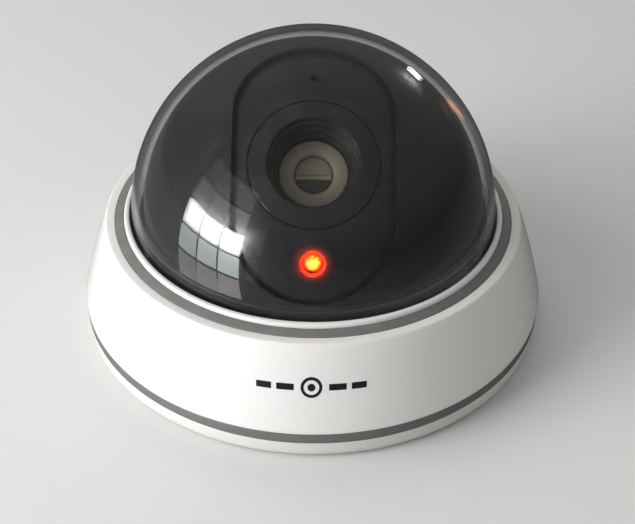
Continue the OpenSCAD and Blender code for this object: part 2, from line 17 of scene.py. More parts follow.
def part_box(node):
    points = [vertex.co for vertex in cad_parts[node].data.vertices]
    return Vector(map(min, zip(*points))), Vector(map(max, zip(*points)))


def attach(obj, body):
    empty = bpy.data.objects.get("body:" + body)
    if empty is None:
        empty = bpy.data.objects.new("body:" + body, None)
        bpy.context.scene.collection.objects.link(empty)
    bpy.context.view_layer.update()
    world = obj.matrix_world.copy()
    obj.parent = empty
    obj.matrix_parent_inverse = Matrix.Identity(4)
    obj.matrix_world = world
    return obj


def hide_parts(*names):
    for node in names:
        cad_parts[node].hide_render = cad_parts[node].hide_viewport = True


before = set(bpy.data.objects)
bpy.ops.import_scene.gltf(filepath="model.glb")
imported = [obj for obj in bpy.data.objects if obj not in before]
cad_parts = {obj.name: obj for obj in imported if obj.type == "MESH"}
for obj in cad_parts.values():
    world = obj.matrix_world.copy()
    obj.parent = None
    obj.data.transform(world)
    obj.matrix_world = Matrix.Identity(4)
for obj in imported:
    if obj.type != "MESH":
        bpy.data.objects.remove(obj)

LOG = logging.getLogger("dome_camera")
MM = 0.001
WELD = 1e-6
SPIN_STEPS = 192
FINE_STEPS = 256
ROD_SIDES = 64
HOLE_SIDES = 32

# Angles are in degrees and lengths in millimetres.
CROSS = (45, 135, 225, 315)
DECK_SCREW_RING = 53.7
LINER_SCREWS = (90, 205, 335)
LINER_SCREW_HEIGHT = 26.8
TURRET_ELEVATION = 49.3
TURRET_SCREW_RING = 16.9
LAMP_ELEVATION = 17.4

Colour = tuple[float, float, float]
Point = tuple[float, float]
Corner = tuple[float, float, float]


class Part(Enum):
    """The rigid bodies that pieces ride on."""

    BASE = "base"
    GASKET = "gasket"
    HOUSING = "housing"
    SWITCH = "switch_slider"
    PAN = "pan_head"
    TILT = "tilt_head"


class Cut(Enum):
    """How one solid acts on another."""

    AWAY = "DIFFERENCE"
    WITHIN = "INTERSECT"
    TOGETHER = "UNION"


def middle(node: str) -> Vector:
    """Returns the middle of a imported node's box, in metres."""
    low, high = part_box(node)
    return (low + high) / 2


BALL = Vector((0.0, 0.0, middle("tilt_washers").z))
FRONT_WHEEL = Matrix.Translation(BALL) @ Matrix(((0, 0, -1), (-1, 0, 0), (0, 1, 0))).to_4x4()


def toward(elevation: float, reach: float = 1.0) -> Vector:
    """Direction from the ball centre towards the front.

    Args:
        elevation: Angle above the horizon, in degrees.
        reach: Length of the vector.

    Returns:
        The vector, in the same unit as reach.
    """
    angle = math.radians(elevation)
    return Vector((0.0, -math.cos(angle), math.sin(angle))) * reach


def round_about(angle: float, radius: float, height: float = 0.0) -> Vector:
    """Returns the point at an angle round Z, from its radius and height, in metres."""
    turn = Quaternion((0, 0, 1), math.radians(angle))
    return (turn @ Vector((radius, 0, height))) * MM


def axis_frame(elevation: float) -> Matrix:
    """Returns the frame at the ball centre whose +Z points at an elevation in degrees."""
    angle = math.radians(elevation)
    across = Vector((0.0, math.sin(angle), math.cos(angle)))
    turn = Matrix((Vector((1, 0, 0)), across, toward(elevation))).transposed()
    return Matrix.Translation(BALL) @ turn.to_4x4()


def rounded(corners: Iterable[Corner], steps: int = 4) -> list[Point]:
    """Rounds each corner of a closed outline.

    Args:
        corners: Radius, height and rounding reach of each corner, in millimetres.
        steps: Segments of each rounding.

    Returns:
        The outline's points, in millimetres.
    """
    ring = list(corners)
    points: list[Point] = []
    for index, (x, y, reach) in enumerate(ring):
        if reach <= 0:
            points.append((x, y))
            continue
        here = Vector((x, y))
        before = Vector(ring[index - 1][:2]) - here
        after = Vector(ring[(index + 1) % len(ring)][:2]) - here
        reach = min(reach, before.length * 0.48, after.length * 0.48)
        start = here + before.normalized() * reach
        end = here + after.normalized() * reach
        for step in range(steps + 1):
            t = step / steps
            spot = start * (1 - t) ** 2 + here * (2 * t * (1 - t)) + end * t * t
            points.append((spot.x, spot.y))
    return points


def arc(radius: float, low: float, high: float, steps: int, centre: float = 0.0) -> list[Corner]:
    """Points of a circle about the turning axis.

    Args:
        radius: Radius of the circle, in millimetres.
        low: First angle above the horizon, in degrees.
        high: Last angle, in degrees.
        steps: Segments of the arc.
        centre: Height of the circle's centre, in millimetres.

    Returns:
        Unrounded corners along the arc.
    """
    corners = []
    for step in range(steps + 1):
        angle = math.radians(low + (high - low) * step / steps)
        corners.append((radius * math.cos(angle), centre + radius * math.sin(angle), 0.0))
    return corners


def curve(start: Point, control: Point, end: Point, steps: int, last: float = 1.0) -> list[Corner]:
    """Points of a quadratic curve.

    Args:
        start: First point, in millimetres.
        control: Control point.
        end: Last point.
        steps: Segments of the curve.
        last: Share of the curve that is kept, from its start.

    Returns:
        Unrounded corners along the curve.
    """
    a, b, c = Vector(start), Vector(control), Vector(end)
    corners = []
    for step in range(steps + 1):
        t = last * step / steps
        spot = a * (1 - t) ** 2 + b * (2 * t * (1 - t)) + c * t * t
        corners.append((spot.x, spot.y, 0.0))
    return corners


class Bench:
    """Modelling steps that the pieces are made with."""

    @staticmethod
    def clear() -> None:
        """Leaves edit mode and deselects everything."""
        if bpy.context.object and bpy.context.object.mode != "OBJECT":
            bpy.ops.object.mode_set(mode="OBJECT")
        bpy.ops.object.select_all(action="DESELECT")

    @classmethod
    def pick(cls, piece: Object) -> Object:
        """Makes one piece the only selected and the active one, and returns it."""
        cls.clear()
        piece.select_set(True)
        bpy.context.view_layer.objects.active = piece
        return piece

    @classmethod
    def named(cls, name: str) -> Object:
        """Names the active object and its mesh, and returns it."""
        piece = bpy.context.object
        piece.name = name
        piece.data.name = name
        return piece

    @classmethod
    def settle(cls, piece: Object) -> Object:
        """Writes a piece's place, turn and scale into its mesh, and returns it."""
        cls.pick(piece)
        bpy.ops.object.transform_apply(location=True, rotation=True, scale=True)
        return piece

    @classmethod
    def turned(
        cls, name: str, corners: Iterable[Corner], steps: int = SPIN_STEPS, rounding: int = 4
    ) -> Object:
        """Spins an outline about Z, as on a lathe.

        Args:
            name: Name of the piece.
            corners: Radius, height and rounding reach of each corner, in millimetres.
            steps: Segments round the axis.
            rounding: Segments of each rounded corner.

        Returns:
            The closed piece.
        """
        cls.clear()
        bpy.ops.mesh.primitive_plane_add(size=MM)
        piece = cls.named(name)
        bpy.ops.object.mode_set(mode="EDIT")
        bpy.ops.mesh.select_all(action="SELECT")
        bpy.ops.mesh.merge(type="CENTER")
        outline = rounded(corners, rounding)
        places = [Vector((r, 0.0, z)) * MM for r, z in outline]
        if max(outline[0][0], outline[-1][0]) * MM > WELD:
            places.append(places[0])
        bpy.ops.transform.translate(value=places[0])
        for here, there in zip(places, places[1:]):
            bpy.ops.mesh.extrude_vertices_move(TRANSFORM_OT_translate={"value": there - here})
        bpy.ops.mesh.select_all(action="SELECT")
        bpy.ops.mesh.remove_doubles(threshold=WELD)
        bpy.ops.mesh.spin(steps=steps, angle=math.tau, center=(0, 0, 0), axis=(0, 0, 1))
        cls.weld()
        bpy.ops.object.mode_set(mode="OBJECT")
        return piece

    @staticmethod
    def weld() -> None:
        """Merges doubles and turns the faces outwards, in edit mode."""
        bpy.ops.mesh.select_all(action="SELECT")
        bpy.ops.mesh.remove_doubles(threshold=WELD)
        bpy.ops.mesh.normals_make_consistent(inside=False)

    @classmethod
    def sector(
        cls, name: str, radii: Point, heights: Point, angles: Point, steps: int = 16
    ) -> Object:
        """Makes a stretch of a square ring about Z.

        Args:
            name: Name of the piece.
            radii: Inner and outer radius, in millimetres.
            heights: Lower and upper height, in millimetres.
            angles: First and last angle, in degrees.
            steps: Segments along it.

        Returns:
            The closed piece.
        """
        cls.clear()
        bpy.ops.mesh.primitive_plane_add(size=1)
        piece = cls.named(name)
        piece.scale = ((radii[1] - radii[0]) * MM, (heights[1] - heights[0]) * MM, 1)
        piece.rotation_euler = (math.pi / 2, 0, 0)
        piece.location = Vector((sum(radii) / 2, 0, sum(heights) / 2)) * MM
        cls.settle(piece)
        bpy.ops.object.mode_set(mode="EDIT")
        bpy.ops.mesh.select_all(action="SELECT")
        sweep = math.radians(angles[0] - angles[1])
        bpy.ops.mesh.spin(steps=steps, angle=sweep, center=(0, 0, 0), axis=(0, 0, 1))
        bpy.ops.mesh.select_all(action="SELECT")
        bpy.ops.mesh.fill_holes(sides=4)
        cls.weld()
        bpy.ops.object.mode_set(mode="OBJECT")
        piece.rotation_euler = (0, 0, math.radians(angles[0]))
        return cls.settle(piece)

    @classmethod
    def rod(
        cls, name: str, radius: float, start: Vector, end: Vector, sides: int = ROD_SIDES
    ) -> Object:
        """Adds a straight rod between two points.

        Args:
            name: Name of the rod.
            radius: Its radius, in metres.
            start: Middle of one end, in metres.
            end: Middle of the other end.
            sides: Sides round it.

        Returns:
            The rod.
        """
        cls.clear()
        along = end - start
        bpy.ops.mesh.primitive_cylinder_add(
            vertices=sides,
            radius=radius,
            depth=along.length,
            location=(start + end) / 2,
            rotation=along.to_track_quat("Z", "Y").to_euler(),
        )
        return cls.settle(cls.named(name))

    @classmethod
    def brick(cls, name: str, low: Sequence[float], high: Sequence[float]) -> Object:
        """Adds a box between two corners that are in millimetres, and returns it."""
        cls.clear()
        size = (Vector(high) - Vector(low)) * MM
        bpy.ops.mesh.primitive_cube_add(size=1, location=(Vector(low) + Vector(high)) / 2 * MM)
        piece = cls.named(name)
        piece.scale = size
        return cls.settle(piece)

    @classmethod
    def combine(cls, piece: Object, how: Cut, *tools: Object) -> Object:
        """Cuts, keeps or adds the tools' solids, and removes the tools.

        Args:
            piece: The solid that is changed.
            how: What the tools do.
            tools: The solids that act on it.

        Returns:
            The piece.
        """
        for tool in tools:
            cls.pick(piece)
            step = piece.modifiers.new("combine", "BOOLEAN")
            step.operation = how.value
            step.solver = "EXACT"
            step.object = tool
            bpy.ops.object.modifier_apply(modifier=step.name)
            bpy.data.objects.remove(tool)
        bpy.ops.object.mode_set(mode="EDIT")
        bpy.ops.mesh.select_all(action="SELECT")
        bpy.ops.mesh.remove_doubles(threshold=WELD)
        bpy.ops.object.mode_set(mode="OBJECT")
        return piece

    @classmethod
    def drill(
        cls, piece: Object, radius: float, start: Vector, end: Vector, sides: int = HOLE_SIDES
    ) -> Object:
        """Drills a hole through a piece.

        Args:
            piece: The piece.
            radius: The hole's radius, in millimetres.
            start: Middle of one end, in metres.
            end: Middle of the other end.
            sides: Sides round it.

        Returns:
            The piece.
        """
        return cls.combine(piece, Cut.AWAY, cls.rod("drill", radius * MM, start, end, sides))

    @classmethod
    def join(cls, name: str, pieces: Sequence[Object]) -> Object:
        """Puts several closed solids into one piece, and returns it."""
        cls.clear()
        for piece in pieces:
            piece.select_set(True)
        bpy.context.view_layer.objects.active = pieces[0]
        if len(pieces) > 1:
            bpy.ops.object.join()
        return cls.named(name)

    @classmethod
    def soften(cls, piece: Object, width: float, angle: float = 40, segments: int = 2) -> Object:
        """Rounds a piece's sharp edges.

        Args:
            piece: The piece.
            width: Width of the rounding, in millimetres.
            angle: Smallest angle between faces that counts as an edge, in degrees.
            segments: Segments of the rounding.

        Returns:
            The piece.
        """
        cls.pick(piece)
        step = piece.modifiers.new("soften", "BEVEL")
        step.width = width * MM
        step.segments = segments
        step.limit_method = "ANGLE"
        step.angle_limit = math.radians(angle)
        step.use_clamp_overlap = True
        bpy.ops.object.modifier_apply(modifier=step.name)
        return piece

    @classmethod
    def smooth(cls, piece: Object, angle: float = 35) -> Object:
        """Shades a piece smooth below an angle in degrees, and returns it."""
        cls.pick(piece)
        bpy.ops.object.shade_smooth_by_angle(angle=math.radians(angle))
        return piece

    @classmethod
    def copy_of(cls, piece: Object, name: str, place: Matrix) -> Object:
        """Copies a piece with its own mesh, to a new place in its mesh.

        Args:
            piece: The piece that is copied.
            name: Name of the copy.
            place: Where it goes.

        Returns:
            The copy.
        """
        copy = piece.copy()
        copy.data = piece.data.copy()
        copy.name = name
        copy.data.name = name
        bpy.context.scene.collection.objects.link(copy)
        copy.data.transform(place)
        return copy

    @classmethod
    def fair_copy(cls, node: str, name: str, edge: float = 0.15) -> Object:
        """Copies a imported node, merges its triangles into faces and rounds its edges.

        Args:
            node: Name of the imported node.
            name: Name of the copy.
            edge: Width of the rounding, in millimetres.

        Returns:
            The copy, standing alone.
        """
        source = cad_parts[node]
        copy = source.copy()
        copy.data = source.data.copy()
        copy.parent = None
        for key in list(copy.keys()):
            del copy[key]
        bpy.context.scene.collection.objects.link(copy)
        cls.pick(copy)
        cls.named(name)
        bpy.ops.mesh.customdata_custom_splitnormals_clear()
        bpy.ops.object.mode_set(mode="EDIT")
        bpy.ops.mesh.select_all(action="SELECT")
        bpy.ops.mesh.remove_doubles(threshold=WELD)
        bpy.ops.mesh.dissolve_limited(angle_limit=math.radians(0.4))
        bpy.ops.object.mode_set(mode="OBJECT")
        if edge > 0:
            cls.soften(copy, edge)
        return cls.smooth(copy)


# ---------------------------------------------------------------- finishes


class Graph:
    """A node tree that is being wired."""

    def __init__(self, tree: NodeTree) -> None:
        """Starts on an empty tree."""
        self.tree = tree
        tree.nodes.clear()

    def add(self, kind: str, settings: dict | None = None, **inputs: object) -> Node:
        """Adds a node.

        Args:
            kind: The node's type, without its ShaderNode prefix.
            settings: Properties to set on the node.
            inputs: Values or sockets for its inputs, with _ for a space in a name.

        Returns:
            The node.
        """
        prefix = "" if kind.startswith("NodeGroup") else "ShaderNode"
        node = self.tree.nodes.new(prefix + kind)
        for key, value in (settings or {}).items():
            setattr(node, key, value)
        for key, value in inputs.items():
            self.feed(node, key.replace("_", " "), value)
        return node

    def feed(self, node: Node, name: str | int, value: object) -> None:
        """Sets an input to a value, or links a socket to it."""
        if isinstance(value, NodeSocket):
            self.tree.links.new(value, node.inputs[name])
        else:
            node.inputs[name].default_value = value

    def sum_up(self, operation: str, *values: object, clamp: bool = False) -> NodeSocket:
        """Adds a Math node and returns its output.

        Args:
            operation: The node's operation.
            values: Its inputs in order.
            clamp: Whether the result is kept from 0 to 1.

        Returns:
            The result's socket.
        """
        node = self.add("Math", {"operation": operation, "use_clamp": clamp})
        for index, value in enumerate(values):
            self.feed(node, index, value)
        return node.outputs[0]

    def mixed(self, share: NodeSocket, first: NodeSocket, second: NodeSocket) -> NodeSocket:
        """Mixes two shaders and returns the result's socket."""
        node = self.add("MixShader")
        for index, value in enumerate((share, first, second)):
            self.feed(node, index, value)
        return node.outputs[0]

    def scaled(self, value: object, share: object) -> NodeSocket:
        """Multiplies a vector or a colour by a number, and returns the result's socket."""
        return self.add("VectorMath", {"operation": "SCALE"}, Vector=value, Scale=share).outputs[0]

    def vectors(self, operation: str, first: object, second: object) -> NodeSocket:
        """Works on two vectors, and returns the result's socket."""
        node = self.add("VectorMath", {"operation": operation})
        self.feed(node, 0, first)
        self.feed(node, 1, second)
        return node.outputs[0]

    def blend(self, share: object, first: object, second: object) -> NodeSocket:
        """Mixes two colours and returns the result's socket."""
        node = self.add("Mix", {"data_type": "RGBA"})
        self.feed(node, 0, share)
        for index, value in ((6, first), (7, second)):
            self.feed(node, index, value if isinstance(value, NodeSocket) else (*value, 1.0))
        return node.outputs[2]

    def ramp(self, share: NodeSocket, stops: Sequence[tuple[float, Colour]]) -> NodeSocket:
        """Turns a share into colours.

        Args:
            share: The socket that is read.
            stops: Places and colours along the ramp.

        Returns:
            The colour's socket.
        """
        node = self.add("ValToRGB", Fac=share)
        band = node.color_ramp.elements
        while len(band) < len(stops):
            band.new(0.5)
        for element, (place, colour) in zip(band, stops):
            element.position = place
            element.color = (*colour, 1.0)
        return node.outputs[0]

    def step(self, value: NodeSocket, low: float, high: float) -> NodeSocket:
        """Rises smoothly from 0 to 1 between two values, and returns the socket."""
        node = self.add("MapRange", {"interpolation_type": "SMOOTHSTEP"})
        self.feed(node, 0, value)
        self.feed(node, 1, low)
        self.feed(node, 2, high)
        return node.outputs[0]


class EffectShelf:
    """Shader groups that several finishes share, each built once."""

    def __init__(self) -> None:
        """Builds the groups."""
        self.grain = self._group(
            "moulded_grain",
            {"Vector": "Vector", "Scale": "Float", "Contrast": "Float"},
            {"Height": "Float", "Tone": "Float"},
            self._wire_grain,
        )
        self.marks = self._group(
            "handling_marks",
            {"Vector": "Vector", "Scale": "Float", "Amount": "Float"},
            {"Mask": "Float"},
            self._wire_marks,
        )
        self.dust = self._group(
            "settled_dust",
            {"Vector": "Vector", "Normal": "Vector", "Amount": "Float"},
            {"Mask": "Float"},
            self._wire_dust,
        )

    @staticmethod
    def _group(
        name: str,
        inputs: dict[str, str],
        outputs: dict[str, str],
        wire: Callable[[Graph, Node, Node], None],
    ) -> NodeTree:
        """Makes a shader group.

        Args:
            name: Name of the group.
            inputs: Its inputs, each with its type.
            outputs: Its outputs, each with its type.
            wire: Method that fills it.

        Returns:
            The group.
        """
        tree = bpy.data.node_groups.new(name, "ShaderNodeTree")
        graph = Graph(tree)
        for flow, sockets in (("INPUT", inputs), ("OUTPUT", outputs)):
            for label, kind in sockets.items():
                tree.interface.new_socket(label, in_out=flow, socket_type="NodeSocket" + kind)
        wire(graph, graph.add("NodeGroupInput"), graph.add("NodeGroupOutput"))
        return tree

    @staticmethod
    def _wire_grain(graph: Graph, given: Node, result: Node) -> None:
        """Fine moulding grain, and a slow change of tone."""
        fine = graph.add("TexNoise", Vector=given.outputs[0], Scale=given.outputs[1], Detail=4.0)
        wide = graph.sum_up("MULTIPLY", given.outputs[1], 0.06)
        cloud = graph.add("TexNoise", Vector=given.outputs[0], Scale=wide, Detail=3.0)
        change = graph.sum_up("SUBTRACT", cloud.outputs[0], 0.5)
        change = graph.sum_up("MULTIPLY", change, given.outputs[2])
        graph.feed(result, 0, fine.outputs[0])
        graph.feed(result, 1, graph.sum_up("ADD", change, 1.0))

    @staticmethod
    def _wire_marks(graph: Graph, given: Node, result: Node) -> None:
        """Sparse hairline marks, as from handling and wiping."""
        bent = graph.add("TexNoise", Vector=given.outputs[0], Scale=90.0, Detail=2.0)
        moved = graph.vectors("ADD", given.outputs[0], graph.scaled(bent.outputs[1], 0.006))
        cells = graph.add(
            "TexVoronoi",
            {"feature": "DISTANCE_TO_EDGE"},
            Vector=moved,
            Scale=given.outputs[1],
        )
        line = graph.sum_up("SUBTRACT", 1.0, graph.step(cells.outputs[0], 0.0, 0.02))
        cloud = graph.add("TexNoise", Vector=given.outputs[0], Scale=120.0, Detail=2.0)
        line = graph.sum_up("MULTIPLY", line, graph.step(cloud.outputs[0], 0.52, 0.68))
        graph.feed(result, 0, graph.sum_up("MULTIPLY", line, given.outputs[2], clamp=True))

    @staticmethod
    def _wire_dust(graph: Graph, given: Node, result: Node) -> None:
        """A thin film and single specks on faces that look up."""
        facing = graph.add("SeparateXYZ", Vector=given.outputs[1]).outputs[2]
        facing = graph.step(facing, 0.1, 1.0)
        film = graph.add("TexNoise", Vector=given.outputs[0], Scale=160.0, Detail=6.0)
        speck = graph.add("TexVoronoi", Vector=given.outputs[0], Scale=420.0)
        dots = graph.sum_up("SUBTRACT", 1.0, graph.step(speck.outputs[0], 0.05, 0.11))
        thin = graph.add("TexNoise", Vector=given.outputs[0], Scale=900.0)
        dots = graph.sum_up("MULTIPLY", dots, graph.step(thin.outputs[0], 0.52, 0.6))
        film = graph.sum_up("MULTIPLY", graph.step(film.outputs[0], 0.4, 0.8), 0.35)
        both = graph.sum_up("MULTIPLY", graph.sum_up("MAXIMUM", film, dots), facing)
        graph.feed(result, 0, graph.sum_up("MULTIPLY", both, given.outputs[2], clamp=True))


class MaterialShelf:
    """Materials that are made so far, each once, with the effects that they share."""

    def __init__(self) -> None:
        """Starts with no material."""
        self.effects = EffectShelf()
        self._made: dict[str, Material] = {}

    def take(self, finish: Finish) -> Material:
        """Returns the finish's material, and makes it the first time."""
        if finish.name not in self._made:
            material = bpy.data.materials.new(finish.name)
            material.use_nodes = True
            graph = Graph(material.node_tree)
            output = graph.add("OutputMaterial")
            graph.feed(output, 0, finish.surface(graph, self.effects))
            self._made[finish.name] = material
        return self._made[finish.name]


@dataclass(frozen=True)
class Finish:
    """A finish and the record's slot that it belongs to."""

    name: str
    slot: str
    colour: Colour
    roughness: float = 0.4

    def surface(self, graph: Graph, effects: EffectShelf) -> NodeSocket:
        """Wires the finish's shader and returns its output."""
        raise NotImplementedError

    @staticmethod
    def use(graph: Graph, tree: NodeTree, **inputs: object) -> Node:
        """Places a shared effect in the material with its own values, and returns it."""
        return graph.add("Group", {"node_tree": tree}, **inputs)

    def worn(self, graph: Graph, tone: NodeSocket, *wear: tuple[NodeSocket, float]) -> NodeSocket:
        """Wires the roughness.

        Args:
            graph: The material's graph.
            tone: Slow change that multiplies the finish's own roughness.
            wear: Masks, each with the roughness that it adds.

        Returns:
            The roughness, from 0 to 1.
        """
        rough = graph.sum_up("MULTIPLY", tone, self.roughness, clamp=True)
        for mask, share in wear:
            rough = graph.sum_up("MULTIPLY_ADD", mask, share, rough, clamp=True)
        return rough

    @staticmethod
    def bumped(graph: Graph, strength: float, depth: float, height: NodeSocket) -> NodeSocket:
        """Turns a height into normals, from a depth in millimetres."""
        return graph.add(
            "Bump", Strength=strength, Distance=depth * MM, Height=height
        ).outputs[0]


@dataclass(frozen=True)
class Moulding(Finish):
    """Moulded plastic or rubber, from gloss to matt."""

    grain: float = 0.006
    grain_scale: float = 1800.0
    contrast: float = 0.06
    marks: float = 0.25
    dust: float = 0.15
    dust_colour: Colour = (0.55, 0.53, 0.5)
    specular: float = 0.5
    coat: float = 0.0

    def surface(self, graph: Graph, effects: EffectShelf) -> NodeSocket:
        """Grain, hairline marks and dust over one colour."""
        place = graph.add("TexCoord")
        where, normal = place.outputs["Object"], place.outputs["Normal"]
        grain = self.use(
            graph, effects.grain, Vector=where, Scale=self.grain_scale, Contrast=self.contrast
        )
        marks = self.use(graph, effects.marks, Vector=where, Scale=170.0, Amount=self.marks)
        dust = self.use(graph, effects.dust, Vector=where, Normal=normal, Amount=self.dust)
        tone = grain.outputs["Tone"]
        colour = graph.scaled(self.colour, tone)
        height = graph.sum_up("SUBTRACT", grain.outputs["Height"], marks.outputs[0])
        shader = graph.add(
            "BsdfPrincipled",
            Base_Color=graph.blend(dust.outputs[0], colour, self.dust_colour),
            Roughness=self.worn(graph, tone, (marks.outputs[0], 0.3), (dust.outputs[0], 0.35)),
            Normal=self.bumped(graph, 0.6, self.grain, height),
            Specular_IOR_Level=self.specular,
        )
        if self.coat > 0:
            graph.feed(shader, "Coat Weight", self.coat)
            graph.feed(shader, "Coat Roughness", 0.06)
        return shader.outputs[0]


@dataclass(frozen=True)
class Plating(Finish):
    """Plated metal with a brushed, slightly clouded face."""

    brushed: float = 0.02

    def surface(self, graph: Graph, effects: EffectShelf) -> NodeSocket:
        """Streaks and cloudy patches over bare metal."""
        where = graph.add("TexCoord").outputs["Object"]
        streak = graph.add("Mapping", Vector=where, Scale=(1.0, 1.0, 14.0))
        grain = self.use(
            graph, effects.grain, Vector=streak.outputs[0], Scale=1400.0, Contrast=0.5
        )
        marks = self.use(graph, effects.marks, Vector=where, Scale=420.0, Amount=0.6)
        tone = grain.outputs["Tone"]
        shader = graph.add(
            "BsdfPrincipled",
            Base_Color=graph.scaled(self.colour, tone),
            Roughness=self.worn(graph, tone, (marks.outputs[0], 0.3)),
            Normal=self.bumped(graph, 0.5, self.brushed, grain.outputs["Height"]),
            Metallic=1.0,
        )
        return shader.outputs[0]


@dataclass(frozen=True)
class ClearShell(Finish):
    """Clear acrylic that lets the light through to what is behind it."""

    bend: float = 1.49
    marks: float = 0.12

    def surface(self, graph: Graph, effects: EffectShelf) -> NodeSocket:
        """Polished glass with faint wiping marks and dust, open to shadow rays."""
        place = graph.add("TexCoord")
        where, normal = place.outputs["Object"], place.outputs["Normal"]
        marks = self.use(graph, effects.marks, Vector=where, Scale=120.0, Amount=self.marks)
        dust = self.use(graph, effects.dust, Vector=where, Normal=normal, Amount=0.12)
        film = graph.sum_up("ADD", marks.outputs[0], dust.outputs[0])
        ripple = graph.add("TexNoise", Vector=where, Scale=30.0, Detail=1.0)
        shader = graph.add(
            "BsdfPrincipled",
            Base_Color=(*self.colour, 1.0),
            Roughness=graph.sum_up("MULTIPLY_ADD", film, 0.5, self.roughness),
            Normal=self.bumped(graph, 0.5, 0.03, ripple.outputs[0]),
            Transmission_Weight=1.0,
            IOR=self.bend,
        )
        through = graph.add("BsdfTransparent", Color=(*self.colour, 1.0))
        shadow = graph.add("LightPath").outputs["Is Shadow Ray"]
        return graph.mixed(shadow, shader.outputs[0], through.outputs[0])


@dataclass(frozen=True)
class MilkyMoulding(Finish):
    """Translucent moulded plastic with cloudy streaks."""

    clear: float = 0.25
    glow: float = 0.6

    def surface(self, graph: Graph, effects: EffectShelf) -> NodeSocket:
        """Cloudy body with a soft inner glow."""
        where = graph.add("TexCoord").outputs["Object"]
        grain = self.use(graph, effects.grain, Vector=where, Scale=900.0, Contrast=0.3)
        cloud = graph.add("TexNoise", Vector=where, Scale=160.0, Detail=3.0)
        plain = graph.scaled(self.colour, grain.outputs["Tone"])
        warm = tuple(channel * share for channel, share in zip(self.colour, (1.0, 0.9, 0.78)))
        shader = graph.add(
            "BsdfPrincipled",
            Base_Color=graph.blend(cloud.outputs[0], plain, warm),
            Normal=self.bumped(graph, 0.3, 0.01, grain.outputs["Height"]),
            Roughness=self.roughness,
            Transmission_Weight=self.clear,
            Subsurface_Weight=self.glow,
            Subsurface_Radius=(0.004, 0.0035, 0.003),
            Subsurface_Scale=1.0,
            Coat_Weight=0.6,
            Coat_Roughness=0.08,
        )
        return shader.outputs[0]


@dataclass(frozen=True)
class LitEpoxy(Finish):
    """Epoxy of a lamp that is on: a hot middle that fades to its edge."""

    strength: float = 3.2
    reach: float = 0.0027
    glow: tuple[tuple[float, Colour], ...] = (
        (0.0, (1.0, 0.72, 0.12)), (0.4, (1.0, 0.4, 0.02)),
        (0.68, (0.9, 0.04, 0.004)), (1.0, (0.25, 0.004, 0.001)),
    )

    def surface(self, graph: Graph, effects: EffectShelf) -> NodeSocket:
        """Light by the distance from the lamp's own axis, broken up by the die's facets."""
        where = graph.add("TexCoord").outputs["Object"]
        moved = graph.vectors("SUBTRACT", where, BALL)
        off = graph.vectors("CROSS_PRODUCT", moved, toward(LAMP_ELEVATION))
        far = graph.add("VectorMath", {"operation": "LENGTH"}, Vector=off).outputs["Value"]
        facets = graph.add("TexVoronoi", Vector=where, Scale=900.0)
        spread = graph.sum_up("MULTIPLY", graph.sum_up("SUBTRACT", facets.outputs[0], 0.4), 0.0009)
        share = graph.sum_up("DIVIDE", graph.sum_up("ADD", far, spread), self.reach, clamp=True)
        shader = graph.add(
            "BsdfPrincipled",
            Base_Color=(*self.colour, 1.0),
            Roughness=self.roughness,
            Emission_Color=graph.ramp(share, self.glow),
            Emission_Strength=self.strength,
        )
        return shader.outputs[0]


@dataclass(frozen=True)
class BoardLacquer(Finish):
    """Circuit board with copper tracks under its lacquer."""

    track: Colour = (0.06, 0.3, 0.1)

    def surface(self, graph: Graph, effects: EffectShelf) -> NodeSocket:
        """Straight tracks on a grid, a weave underneath and pads."""
        where = graph.add("TexCoord").outputs["Object"]
        grid = graph.add(
            "TexBrick",
            {"offset": 0.35, "squash": 1.6, "squash_frequency": 3},
            Vector=where,
            Scale=260.0,
            Mortar_Size=0.07,
            Mortar_Smooth=0.1,
        )
        grain = self.use(graph, effects.grain, Vector=where, Scale=2600.0, Contrast=0.2)
        tracks = graph.step(grid.outputs["Fac"], 0.2, 0.8)
        height = graph.sum_up("MULTIPLY_ADD", grain.outputs["Height"], 0.3, tracks)
        shader = graph.add(
            "BsdfPrincipled",
            Base_Color=graph.blend(tracks, self.colour, self.track),
            Roughness=self.worn(graph, grain.outputs["Tone"]),
            Normal=self.bumped(graph, 0.6, 0.03, height),
            Coat_Weight=0.4,
        )
        return shader.outputs[0]


WHITE = Moulding(
    "gloss_white", "white_plastic", (0.8, 0.8, 0.785), 0.24,
    grain=0.004, grain_scale=1500, contrast=0.03, marks=0.3, dust=0.16, coat=0.25,
)
BASE_WHITE = Moulding(
    "base_white", "white_plastic", (0.7, 0.705, 0.675), 0.34,
    grain=0.008, grain_scale=1500, contrast=0.05, marks=0.35, dust=0.1,
)
TRIM_GREY = Moulding(
    "trim_grey", "grey_rubber", (0.165, 0.165, 0.16), 0.42,
    grain=0.012, grain_scale=2200, contrast=0.12, marks=0.15, dust=0.25,
)
PRINT_BLACK = Moulding(
    "print_black", "black_plastic", (0.012, 0.012, 0.012), 0.38,
    grain=0.005, grain_scale=2600, contrast=0.2, marks=0.2, dust=0.05,
)
LINER_BLACK = Moulding(
    "liner_satin", "liner_black", (0.013, 0.014, 0.0138), 0.2,
    grain=0.0005, grain_scale=2600, contrast=0.3, marks=0.1, dust=0.04,
)
TURRET_BLACK = Moulding(
    "turret_satin", "liner_black", (0.012, 0.013, 0.013), 0.2,
    grain=0.0012, grain_scale=2600, contrast=0.3, marks=0.12, dust=0.04,
)
DARK_FRAME = Moulding(
    "dark_frame", "dark_plastic", (0.04, 0.043, 0.046), 0.45,
    grain=0.02, grain_scale=1200, contrast=0.15, marks=0.2, dust=0.12,
)
GREY_FRAME = Moulding(
    "grey_frame", "light_grey_plastic", (0.46, 0.46, 0.44), 0.48,
    grain=0.02, grain_scale=1100, contrast=0.08, marks=0.3, dust=0.12,
)
BLACK_PART = Moulding(
    "black_part", "black_plastic", (0.02, 0.02, 0.02), 0.4,
    grain=0.012, grain_scale=1600, contrast=0.15, marks=0.2, dust=0.08,
)
